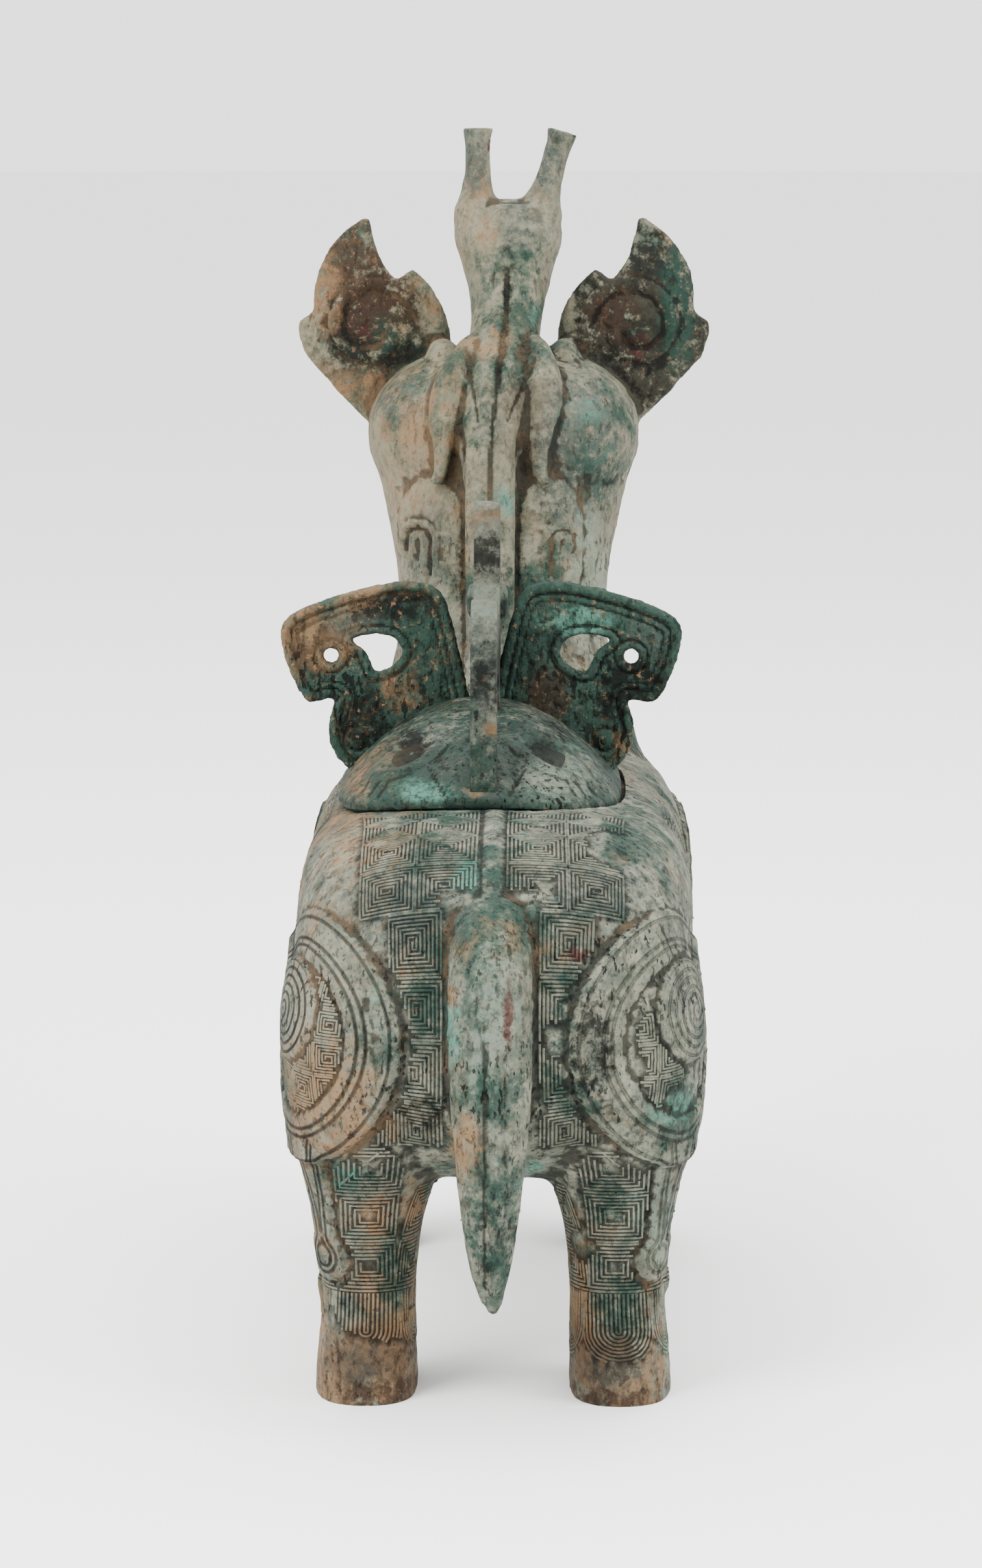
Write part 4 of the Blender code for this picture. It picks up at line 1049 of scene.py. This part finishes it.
def flankThreads(side):
    halfU, halfV = flankPattern["halfSizes"]
    low, high = flankPattern["heights"]
    lines = []
    for column, u in enumerate(flankPattern["columns"]):
        lines += [squareSpiral(u, v, halfU, halfV, 1 if column % 2 else -1) for v in flankPattern["rows"]]

    def allowed(p):
        return offHaunch(p, "hind") & offHaunch(p, "fore") & (p[:, 2] > low) & (p[:, 2] < high)

    return layThreads(lines, lambda u, v: ((0, u, v), (side, 0, 0)), allowed, threadForm["flankStep"])


def nodeTree(name, inputs):
    tree = bpy.data.node_groups.new(name, "GeometryNodeTree")
    tree.interface.new_socket(name="Geometry", in_out="INPUT", socket_type="NodeSocketGeometry")
    sockets = {
        label: tree.interface.new_socket(name=label, in_out="INPUT", socket_type="NodeSocket" + kind)
        for label, kind in inputs.items()
    }
    tree.interface.new_socket(name="Geometry", in_out="OUTPUT", socket_type="NodeSocketGeometry")
    return tree, sockets


def addNode(tree, kind, settings=None, values=None):
    # values are numbers or the output sockets of other nodes
    made = tree.nodes.new(kind)
    for key, value in (settings or {}).items():
        setattr(made, key, value)
    for key, value in (values or {}).items():
        if isinstance(value, bpy.types.NodeSocket):
            tree.links.new(value, made.inputs[key])
        else:
            made.inputs[key].default_value = value
    return made


def finishTree(tree, geometry, finish):
    smooth = addNode(tree, "GeometryNodeSetShadeSmooth", None, {0: geometry})
    real = addNode(tree, "GeometryNodeRealizeInstances", None, {0: smooth.outputs[0]})
    painted = addNode(tree, "GeometryNodeSetMaterial", None, {0: real.outputs[0], "Material": finish})
    addNode(tree, "NodeGroupOutput", None, {0: painted.outputs[0]})


def threadTree():
    # thin round ridges along the drawn lines
    tree, sockets = nodeTree("threadRelief", {"Thread Radius": "Float", "Sides": "Int", "Finish": "Material"})
    given = addNode(tree, "NodeGroupInput").outputs
    circle = addNode(
        tree, "GeometryNodeCurvePrimitiveCircle", None,
        {"Resolution": given["Sides"], "Radius": given["Thread Radius"]},
    )
    ridge = addNode(
        tree, "GeometryNodeCurveToMesh", None, {0: given["Geometry"], "Profile Curve": circle.outputs[0]}
    )
    ridge.inputs["Fill Caps"].default_value = True
    finishTree(tree, ridge.outputs[0], given["Finish"])
    return tree, sockets


def grainTree():
    # grains of crust, thicker where the surface's own "grain" attribute says so
    inputs = {"Density": "Float", "Grain Radius": "Float", "Seed": "Int", "Finish": "Material"}
    tree, sockets = nodeTree("crustGrains", inputs)
    given = addNode(tree, "NodeGroupInput").outputs
    share = addNode(tree, "GeometryNodeInputNamedAttribute", {"data_type": "FLOAT"}, {"Name": "grain"})
    factors = {0: share.outputs[0], 1: given["Density"]}
    density = addNode(tree, "ShaderNodeMath", {"operation": "MULTIPLY"}, factors)
    spread = addNode(
        tree, "GeometryNodeDistributePointsOnFaces", None,
        {0: given["Geometry"], "Density": density.outputs[0], "Seed": given["Seed"]},
    )
    grain = addNode(tree, "GeometryNodeMeshIcoSphere", None, {"Radius": given["Grain Radius"], "Subdivisions": 1})
    size = addNode(
        tree, "FunctionNodeRandomValue", {"data_type": "FLOAT_VECTOR"},
        {"Min": (0.5, 0.5, 0.3), "Max": (1.5, 1.5, 1.0), "Seed": given["Seed"]},
    )
    placed = addNode(
        tree, "GeometryNodeInstanceOnPoints", None,
        {"Points": spread.outputs[0], "Instance": grain.outputs[0], "Rotation": spread.outputs["Rotation"],
         "Scale": size.outputs[0]},
    )
    finishTree(tree, placed.outputs[0], given["Finish"])
    return tree, sockets


def grownPiece(name, source, treeMade, values):
    tree, sockets = treeMade
    grown = source.modifiers.new(name, "NODES")
    grown.node_group = tree
    for label, value in values.items():
        grown[sockets[label].identifier] = value
    mesh = evaluatedMesh(source)
    source.modifiers.remove(grown)
    return addObject(name, mesh)


def threadCurve(name, runs):
    curve = bpy.data.curves.new(name, "CURVE")
    curve.dimensions = "3D"
    for run in runs:
        spline = curve.splines.new("POLY")
        spline.points.add(len(run) - 1)
        spline.points.foreach_set("co", np.column_stack([run, np.ones(len(run))]).ravel())
    return addObject(name, curve)


class Wire:
    # a shader value that can be used in Python expressions
    def __init__(self, tree, socket=None):
        self.tree, self.socket = tree, socket

    def node(self, kind, settings, values, output=0):
        made = self.tree.nodes.new("ShaderNode" + kind)
        for key, value in settings.items():
            setattr(made, key, value)
        for key, value in values.items():
            if isinstance(value, Wire):
                self.tree.links.new(value.socket, made.inputs[key])
            else:
                made.inputs[key].default_value = value
        return Wire(self.tree, made.outputs[output])

    def maths(self, operation, first, second):
        return self.node("Math", {"operation": operation}, {0: first, 1: second})

    def __add__(self, other):
        return self.maths("ADD", self, other)

    __radd__ = __add__

    def __sub__(self, other):
        return self.maths("SUBTRACT", self, other)

    def __rsub__(self, other):
        return self.maths("SUBTRACT", other, self)

    def __mul__(self, other):
        return self.maths("MULTIPLY", self, other)

    __rmul__ = __mul__

    def size(self):
        return self.maths("ABSOLUTE", self, 0)

    def stripe(self, middle, half, soft):
        return (self - middle).size().rises(half + soft, half - soft)

    def rises(self, low, high):
        values = {"Value": self, "From Min": low, "From Max": high}
        return self.node("MapRange", {"interpolation_type": "SMOOTHSTEP"}, values)

    def painted(self, colour, share):
        # this colour with another laid over it
        values = {0: share, 6: self, 7: linear(colour)}
        return self.node("Mix", {"data_type": "RGBA", "clamp_factor": True}, values, 2)


def linear(colour):
    parts = [int(colour[k : k + 2], 16) / 255 for k in (1, 3, 5)]
    return (*[c / 12.92 if c <= 0.04045 else ((c + 0.055) / 1.055) ** 2.4 for c in parts], 1.0)


patinaForm = {
    "base": "#878b7e", "light": "#afb0a0", "slate": "#646f69", "malachite": "#405f55", "turquoise": "#7fae9f",
    "earth": "#ad9071", "tan": "#a49c84", "dark": "#1b1c19", "brown": "#5c4a3e", "cuprite": "#6b3a38",
    "pale": "#a3ad9e",
    "tone": 0.53,  # the whole finish is this much darker than its colours, under a bright studio
    "contrast": 1.3,
    "metallic": 0.05,
    "specular": 0.1,
    "grainBump": 0.8,
    "pitBump": 0.9,
    "lineBump": 1.0,
}
# stains, and on the lid one painted shadow, as seen from behind: colour, x from the group's middle line, z, half
# width, half height, strength
stainsAndShadows = {
    "rear": [
        ("light", -44, 112, 18, 36, 1.0), ("light", 40, 112, 12, 26, 0.6), ("slate", 30, 146, 18, 12, 0.8),
        ("malachite", -17, 116, 8, 18, 1.0), ("turquoise", -6, 151, 6, 7, 0.9), ("earth", -42, 92, 17, 26, 1.0),
        ("earth", -42, 158, 16, 12, 0.7), ("cuprite", 5.6, 117, 1.6, 13, 1.3), ("earth", -9.8, 122, 2.2, 4, 1.2),
        ("turquoise", -10, 112, 3.5, 17, 0.9), ("pale", 2, 120, 9, 30, 1.0), ("pale", -4, 107, 2.2, 16, 1.2),
        ("earth", -6, 82, 6, 13, 1.1), ("cuprite", 24, 132, 5, 2.6, 1.3), ("dark", 28, 108, 9, 20, 0.8),
        ("malachite", 20, 112, 5, 10, 0.8), ("turquoise", 49, 88, 12, 6, 0.8), ("turquoise", 11.5, 71, 5, 4, 1.0),
        ("turquoise", -39, 69, 8, 9, 0.8), ("malachite", -37, 66, 9, 7, 1.0), ("malachite", -26.5, 40, 7, 20, 1.1),
        ("malachite", 32, 62, 10, 12, 1.0), ("malachite", 37, 28, 9, 15, 1.1), ("earth", -21, 58, 4, 16, 1.0),
        ("earth", 25.5, 26, 4, 19, 1.1), ("pale", 45, 58, 8, 22, 1.2), ("dark", -18, 88, 10, 9, 0.8),
        ("earth", -32, 55, 6, 14, 0.8), ("dark", -24, 14, 9, 9, 0.6), ("dark", 2, 60, 6, 22, 0.5),
        ("malachite", -4, 62, 5, 20, 0.6), ("slate", -20, 142, 22, 14, 0.9), ("slate", -36, 11, 11, 11, 0.9),
        ("brown", -30, 3, 20, 5, 1.1), ("slate", 34, 11, 13, 9, 0.9), ("brown", 35, 2, 18, 4, 1.1),
        ("earth", -26, 22, 7, 8, 0.7),
    ],
    "neck": [
        ("light", -26, 226, 16, 40, 0.7),
        ("earth", -28, 232, 18, 38, 0.55), ("earth", -22, 205, 8, 7, 0.9), ("turquoise", 5, 236, 7, 7, 0.9),
        ("malachite", 19, 218, 6, 12, 1.0), ("malachite", 12, 206, 7, 12, 0.9),
        ("malachite", 4.5, 204, 4, 14, 1.2),
        ("turquoise", 34, 249, 8, 5, 0.5), ("turquoise", 26, 262, 14, 8, 0.55),
        ("malachite", -11.5, 245, 3.5, 10, 0.9),
        ("earth", -12, 254, 4, 5, 0.8), ("pale", 30, 215, 9, 24, 1.0), ("earth", -6, 316, 7, 8, 0.7),
        ("dark", 0, 306, 4, 18, 0.6), ("malachite", 8, 312, 6, 7, 0.6), ("earth", -14, 268, 6, 14, 0.6),
        ("slate", -12, 338, 8, 14, 1.1), ("slate", 12, 338, 8, 14, 1.0), ("slate", 3, 318, 12, 12, 0.8),
        ("slate", 26, 250, 17, 34, 1.1), ("malachite", 31, 242, 12, 26, 0.65), ("slate", -30, 266, 12, 10, 0.8),
        ("dark", 0, 290, 2.4, 46, 0.8), ("slate", -18, 222, 12, 22, 0.7),
    ],
    "ears": [
        ("dark", -42, 288, 22, 26, 1.2), ("brown", -46, 302, 18, 24, 1.2), ("slate", -50, 284, 16, 20, 0.8),
        ("earth", -56, 296, 8, 20, 0.9),
        ("cuprite", -43, 284, 5, 6, 0.7), ("malachite", -37, 283, 8, 8, 0.9), ("earth", -44, 268, 14, 7, 0.9),
        ("dark", 42, 290, 34, 40, 1.4), ("malachite", 54, 292, 7, 26, 1.3), ("slate", 44, 308, 12, 14, 0.8),
        ("cuprite", 41, 280, 7, 8, 0.7), ("brown", 34, 290, 12, 12, 1.0),
    ],
    "lidBronze": [
        ("turquoise", -20, 166, 12, 4, 0.95), ("earth", -6, 167, 4, 3, 0.9), ("dark", -25, 177, 10, 4.5, 0.8),
        ("pale", 18, 168, 16, 8, 0.8), ("malachite", -4, 182, 16, 6, 0.9), ("dark", 15, 177, 9, 4, 0.7),
        ("earth", -40, 166, 8, 6, 0.8), ("malachite", -30, 168, 12, 6, 0.7), ("slate", 0, 174, 34, 14, 0.95),
        ("slate", 28, 167, 16, 10, 1.0), ("malachite", 22, 164, 18, 7, 0.7),
        # painted shadow: this dark band along the lid's lower edge stands for the shade in the gap under its lip
        ("dark", -5, 160.4, 46, 1.6, 1.6),
    ],
    "hornPlates": [
        ("brown", -54, 200, 11, 16, 0.7), ("earth", -50, 198, 9, 10, 0.5), ("slate", -40, 206, 16, 8, 0.8),
        ("dark", -30, 212, 18, 6, 1.1),
        ("dark", -38, 178, 11, 14, 1.1), ("turquoise", 22, 208, 16, 7, 0.9), ("dark", 40, 186, 16, 16, 1.1),
        ("brown", 14, 186, 10, 14, 0.9), ("dark", 14, 206, 8, 10, 0.8), ("slate", 44, 202, 10, 10, 0.8),
    ],
    "birdKnob": [
        ("pale", -3, 216, 9, 3.4, 1.5), ("slate", -3, 199, 9, 16, 1.3), ("dark", -3, 197, 9, 14, 0.75),
        ("malachite", -3, 176, 9, 13, 1.2), ("malachite", -8.8, 212.5, 1.8, 6, 1.5),
        ("malachite", 2.4, 212.5, 1.8, 6, 1.5),
        ("dark", -8.8, 214, 1.8, 6, 0.8), ("dark", 2.4, 214, 1.8, 6, 0.8),
        ("earth", -1, 184, 4, 2.6, 1.2), ("dark", -3, 227, 9, 9, 1.2), ("earth", -3, 238, 9, 4, 0.8),
    ],
}
# stains and the painted shadow are laid on in this order
stainAndShadowColours = ("light", "slate", "dark", "brown", "malachite", "turquoise", "earth", "pale", "cuprite")


def stainPlaces(p):
    # where a stain counts and where its middle line is
    x, y, z = p.T
    ear = softStep(np.hypot(x / 42.5, (z - 254) / 28), 1.0, 1.06) * softStep(np.abs(x), 20, 23) * (z > 250)
    ear *= softStep(y, 66, 74) * (1 - softStep(y, 98, 104))
    neck = (1 - softStep(y, 100, 125)) * (1 - ear)
    return {"rear": (1 - softStep(y, -80, -55), -0.6), "neck": (neck, beastBend(z)), "ears": (ear, 0)}


def markStainsAndShadows(obj, places=None):
    # each colour's share on each point, from the stains and from the painted shadow under the lid's lip
    points, _ = readPoints(obj.data)
    x, _, z = (points / unit).T
    shares = {colour: np.zeros(len(points)) for colour in stainAndShadowColours}
    for group, (there, line) in (places or {obj.name: (1, 0)}).items():
        for colour, midX, midZ, halfX, halfZ, strength in stainsAndShadows[group]:
            away = np.hypot((x - line - midX) / halfX, (z - midZ) / halfZ)
            shares[colour] = np.maximum(shares[colour], strength * (1 - softStep(away, 0.2, 1.3)) * there)
    for colour, share in shares.items():
        setShare(obj, colour + "StainAndShadow", share)


def haunchLines(named):
    # grooves of the haunch scrolls and the plumes, 1 at the bottom of a groove
    u, v = named("haunchU"), named("haunchV")
    r = (u * u + v * v).maths("POWER", u * u + v * v, 0.5)
    middle, half = haunchForm["band"]
    band = (r - middle).size().rises(half + 0.5, half - 1.0)
    lines = sum(r.stripe(at, 0.45, 0.40) for at in haunchForm["grooves"]) * band
    coilU, coilV = u - haunchForm["coilMiddle"][0], v - haunchForm["coilMiddle"][1]
    coilR = coilU.maths("POWER", coilU * coilU + coilV * coilV, 0.5)
    turn = coilU.maths("ARCTAN2", coilV, coilU)
    wave = coilR.maths("COSINE", coilR * (2 * math.pi / haunchForm["ringPitch"]) - turn, 0)
    lines += wave.rises(-0.25, -0.85) * coilR.rises(haunchForm["coilRadius"] - 0.6, haunchForm["coilRadius"] - 1.8)
    inside = named("plume")
    return lines * named("haunchShown") + inside.stripe(-2.2, 0.4, 0.35) + inside.stripe(-4.0, 0.4, 0.35)


def bronzePatina(name, look):
    # look: how much of each colour, of pits and of dark grime this piece has, and how light it is
    material = bpy.data.materials.new(name)
    material.use_nodes = True
    tree = material.node_tree
    shader = tree.nodes["Principled BSDF"]
    place = Wire(tree).node("TexCoord", {}, {}, "Object")
    x, z = (place.node("SeparateXYZ", {}, {0: place}, k) for k in (0, 2))

    def named(label):
        return place.node("Attribute", {"attribute_name": label}, {}, "Fac")

    def cloud(scale, detail=5.0, rough=0.6, shift=0.0, stretch=(1, 1, 1)):
        at = place.node("Mapping", {}, {"Vector": place, "Location": (shift, shift * 2, -shift), "Scale": stretch})
        return at.node("TexNoise", {}, {"Vector": at, "Scale": scale, "Detail": detail, "Roughness": rough})

    broad, patches, mottle = cloud(11, 4), cloud(34, 8, 0.7, 3.1), cloud(95, 8, 0.7, 7.7)
    fine, grain = cloud(270, 8, 0.72, 2.9), cloud(800, 6, 0.7, 1.3)
    streaks = cloud(210, 7, 0.72, 5.9, (1, 1, 0.4))
    pitted = cloud(24, 5, 0.6, 6.1).rises(0.40, 0.62)
    # shares that grow towards the left side, down to the hooves, and up the neck
    left, hoof, high = x.rises(0.012, -0.05), z.rises(0.050, 0.014), z.rises(0.19, 0.26)
    pits = cloud(560, 3, 0.55, 2.2, (1, 1, 0.45)).rises(look["pitFrom"], look["pitFrom"] + 0.06)
    pits = pits * (0.35 + 0.65 * pitted) * (1.0 - 0.6 * high) * (1.0 - 0.6 * hoof)
    crevice, underThreads = named("hollow").rises(0.35, 1.0), named("underThreads")
    lines = haunchLines(named) if look["lines"] else None
    ragged = 3.2 * mottle + 4.4 * fine - 2.8

    green = (patches + 0.35 * broad + 0.22 * fine).rises(0.86 - look["malachite"], 1.02 - look["malachite"])
    teal = (cloud(40, 8, 0.72, 9.4) + 0.2 * fine).rises(0.70, 0.80)
    earthy = cloud(30, 9, 0.75, 4.4) + 0.25 * fine + 0.10 * left + 0.13 * hoof
    flecks = cloud(430, 5, 0.65, 3.7).rises(0.57, 0.67) * (look["flecks"] + 0.3 * left)
    brown = (cloud(18, 7, 0.65, 8.2) + 0.15 * fine + 0.07 * hoof).rises(0.66, 0.80)
    # colours from the lowest layer to the top one, each with the share that it covers
    layers = [
        ("slate", fine.rises(0.47, 0.66) * 0.75),
        ("tan", high * (look["tan"] * mottle.rises(0.22, 0.50)) * (0.60 + 0.40 * left)),
        ("malachite", green * 0.9),
        ("turquoise", teal * look["turquoise"]),
        ("earth", earthy.rises(0.68, 0.84) * look["earth"]),
    ]
    # stain colours, with the painted shadow along the lid's lower edge among the dark ones
    layers += [(label, (named(label + "StainAndShadow") * ragged).rises(0.25, 1.15) * 0.78) for label in stainAndShadowColours]
    layers += [
        ("earth", flecks),
        ("dark", streaks.rises(0.50, 0.68) * (look["grime"] - 0.3 * high)),
        ("dark", cloud(480, 5, 0.65, 8.8).rises(0.55, 0.66) * (0.5 - 0.3 * high)),
        ("brown", brown * look["brown"]),
        ("cuprite", cloud(50, 6, 0.65, 6.5).rises(0.69, 0.73) * 0.8),
        ("dark", underThreads * 0.72),
        ("dark", crevice * 0.7),
        ("earth", crevice * earthy.rises(0.62, 0.80) * (0.6 * look["earth"] * look["earth"])),
    ]
    if lines:
        layers.append(("dark", lines * (0.25 + 0.35 * left + 0.3 * patches.rises(0.40, 0.60))))
    layers.append(("dark", pits * 0.9))
    ground = {0: mottle.rises(0.36, 0.64), 6: linear(patinaForm["base"]), 7: linear(patinaForm["light"])}
    colour = place.node("Mix", {"data_type": "RGBA"}, ground, 2)
    for label, share in layers:
        colour = colour.painted(patinaForm[label], share)
    colour = colour.node("Gamma", {}, {0: colour, 1: patinaForm["contrast"]})
    lit = (0.60 + 0.80 * grain) * (patinaForm["tone"] * look["light"]) * (1.0 + 0.05 * look["tan"] * high)
    shade = place.node("CombineColor", {}, {0: lit, 1: lit, 2: lit})
    colour = colour.node("Mix", {"data_type": "RGBA", "blend_type": "MULTIPLY"}, {0: 1.0, 6: colour, 7: shade}, 2)

    rough = 0.62 + 0.25 * mottle
    height = grain * 0.3 + fine * 0.8 + mottle * 0.9 + streaks * 0.5
    bump = place.node("Bump", {}, {"Strength": patinaForm["grainBump"], "Distance": 0.0016, "Height": height})
    cuts = [(pits, patinaForm["pitBump"])] + ([(lines, patinaForm["lineBump"])] if lines else [])
    for cutHeight, strength in cuts:
        values = {"Strength": strength, "Distance": 0.0009, "Height": cutHeight, "Normal": bump}
        bump = place.node("Bump", {"invert": True}, values)
    for key, value in (("Base Color", colour), ("Roughness", rough), ("Normal", bump)):
        tree.links.new(value.socket, shader.inputs[key])
    shader.inputs["Metallic"].default_value = patinaForm["metallic"]
    shader.inputs["Specular IOR Level"].default_value = patinaForm["specular"]
    return material


vesselLook = {
    "malachite": 0.10, "turquoise": 0.55, "earth": 0.8, "tan": 0.8, "grime": 0.5, "brown": 0.5,
    "pitFrom": 0.59, "light": 1.0, "flecks": 0.25, "lines": True,
}
threadLook = {**vesselLook, "earth": 0.7, "grime": 0.2, "pitFrom": 0.66, "light": 1.02, "lines": False}
lidLook = {
    **vesselLook, "malachite": 0.22, "turquoise": 0.6, "earth": 0.45, "tan": 0.0, "brown": 0.3,
    "light": 0.9, "lines": False,
}
hornLook = {
    **lidLook, "malachite": 0.34, "turquoise": 0.4, "earth": 0.8, "brown": 0.6, "pitFrom": 0.56,
    "light": 1.0, "flecks": 0.7,
}
birdLook = {
    **lidLook, "malachite": 0.10, "turquoise": 0.3, "earth": 0.3, "pitFrom": 0.62, "light": 0.66,
}
looks = {
    "vesselPatina": vesselLook, "threadPatina": threadLook, "lidPatina": lidLook, "hornPatina": hornLook,
    "birdPatina": birdLook,
}
finishes = {name: bronzePatina(name, look) for name, look in looks.items()}
print("patina made")

runs = rumpThreads()
for side in (-1, 1):
    for name in ("hind", "fore"):
        runs += legThreads(name, side) + haunchThreads(name, side)
flankRuns = flankThreads(-1) + flankThreads(1)
threadValues = {
    "Thread Radius": threadForm["radius"] * unit, "Sides": threadForm["sides"], "Finish": finishes["threadPatina"],
}
threads = []
for name, lines in (("threadRelief", runs), ("flankThreads", flankRuns)):
    drawn = threadCurve(name + "Lines", lines)
    threads.append(grownPiece(name, drawn, threadTree(), threadValues))
    bpy.data.objects.remove(drawn)
laidFaces = [len(piece.data.polygons) for piece in threads]
print("threads laid:", len(runs) + len(flankRuns), "runs,", laidFaces, "faces")


def markUnderThreads(obj, lines, reach):
    # 1 on the bronze just under and beside the threads, where grime collects
    laid = np.vstack(lines)
    tree = KDTree(len(laid))
    for index, point in enumerate(laid):
        tree.insert(point, index)
    tree.balance()
    points, _ = readPoints(obj.data)
    near = np.array([tree.find(point)[2] for point in points])
    setShare(obj, "underThreads", 1 - softStep(near, 0.75 * reach, reach))


markUnderThreads(vessel, runs + flankRuns, threadForm["reach"] * unit)
for piece in (vessel, *threads):
    markStainsAndShadows(piece, stainPlaces(readPoints(piece.data)[0] / unit))
for piece in (lid, horns, bird):
    markStainsAndShadows(piece)

crustForm = {"density": 60000.0, "radius": 0.00055, "seed": 7}


def crustShare(obj):
    # more grains on the right edge of the rump, under the tail and between the legs
    points, _ = readPoints(obj.data)
    p = points / unit
    x, y, z = p.T
    edge = softStep(np.abs(x), 30, 52) * (y < -60) * softStep(z, 20, 60)
    tail = (np.abs(x) < 12) * (y < -170) * (1 - softStep(z, 60, 90))
    crotch = (1 - softStep(z, 60, 72)) * softStep(z, 40, 56) * (y < -90)
    share = (0.35 * edge * (x > 0) + 0.1 * edge + 0.8 * tail + 0.7 * crotch) * (lumps(p, 9.0, 12, 2) > 0.05)
    setShare(obj, "grain", share * (z > 4))


crustShare(vessel)
grains = grownPiece(
    "crustGrains", vessel, grainTree(),
    {"Density": crustForm["density"], "Grain Radius": crustForm["radius"], "Seed": crustForm["seed"],
     "Finish": finishes["vesselPatina"]},
)
print("crust grown:", len(grains.data.polygons), "faces")

# all pieces move together until the vessel's box is centred as the CAD node's is
points, _ = readPoints(vessel.data)
shift = (np.array(vesselLow) + np.array(vesselHigh) - points.min(axis=0) - points.max(axis=0)) / 2
shift[2] = 0
dressed = [
    (vessel, "vesselPatina", "vessel"),
    *[(piece, "threadPatina", "vessel") for piece in threads],
    (grains, "vesselPatina", "vessel"),
    (lid, "lidPatina", "lid"),
    (horns, "hornPatina", "lid"),
    (bird, "birdPatina", "lid"),
]
# faces that meet at more than this many degrees keep a sharp edge
sharpAngles = {"vesselBronze": 40, "lidBronze": 40, "birdKnob": 40}
for piece, finish, node in dressed:
    points, _ = readPoints(piece.data)
    writePoints(piece, points + shift)
    piece.data.materials.clear()
    piece.data.materials.append(finishes[finish])
    piece.data.polygons.foreach_set("use_smooth", np.ones(len(piece.data.polygons), bool))
    piece.data.set_sharp_from_angle(angle=math.radians(sharpAngles.get(piece.name, 80)))
    piece.data.calc_loop_triangles()
    print(piece.name, len(piece.data.loop_triangles), "triangles")
    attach(piece, "root")
    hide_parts(node)
    node + "_bronze"

studioForm = {
    "aim": (-0.0029, 0.0026, 0.1702),
    "distance": 1.859,
    "elevation": 8.0,
    "yaw": 0.9,
    "lens": 129.0,
    "floor": "#f4f4f3",
    "floorRadius": 12.0,
    # place, size, watts
    "lights": [((-0.9, -1.3, 1.5), 0.9, 62.0), ((1.2, -0.7, 1.2), 0.9, 26.0), ((0.0, 0.5, 2.0), 1.4, 46.0)],
    "world": 2.3,
}


def makeStudio():
    floor = bmesh.new()
    bmesh.ops.create_circle(floor, cap_ends=True, segments=96, radius=studioForm["floorRadius"])
    made = meshObject("studioFloor", floor)
    paint = bpy.data.materials.new("paleFloor")
    paint.use_nodes = True
    shader = paint.node_tree.nodes["Principled BSDF"]
    shader.inputs["Base Color"].default_value = linear(studioForm["floor"])
    shader.inputs["Roughness"].default_value = 0.9
    made.data.materials.append(paint)
    aim = Vector(studioForm["aim"])
    for index, (place, size, watts) in enumerate(studioForm["lights"]):
        lamp = bpy.data.lights.new(f"softLight{index}", "AREA")
        lamp.size, lamp.energy = size, watts
        light = addObject(f"softLight{index}", lamp)
        light.location = place
        light.rotation_euler = (aim - light.location).to_track_quat("-Z", "Y").to_euler()
    world = bpy.data.worlds.new("studio")
    bpy.context.scene.world = world
    world.use_nodes = True
    background = world.node_tree.nodes["Background"].inputs
    background["Color"].default_value = (1, 1, 1, 1)
    background["Strength"].default_value = studioForm["world"]
    elevation, yaw = math.radians(studioForm["elevation"]), math.radians(studioForm["yaw"])
    away = Vector((math.sin(yaw) * math.cos(elevation), -math.cos(yaw) * math.cos(elevation), math.sin(elevation)))
    view = bpy.data.cameras.new("photoView")
    view.lens = studioForm["lens"]
    camera = addObject("photoView", view)
    camera.location = aim + away * studioForm["distance"]
    camera.rotation_euler = (-away).to_track_quat("-Z", "Y").to_euler()
    bpy.context.scene.camera = camera


makeStudio()
print("studio made")
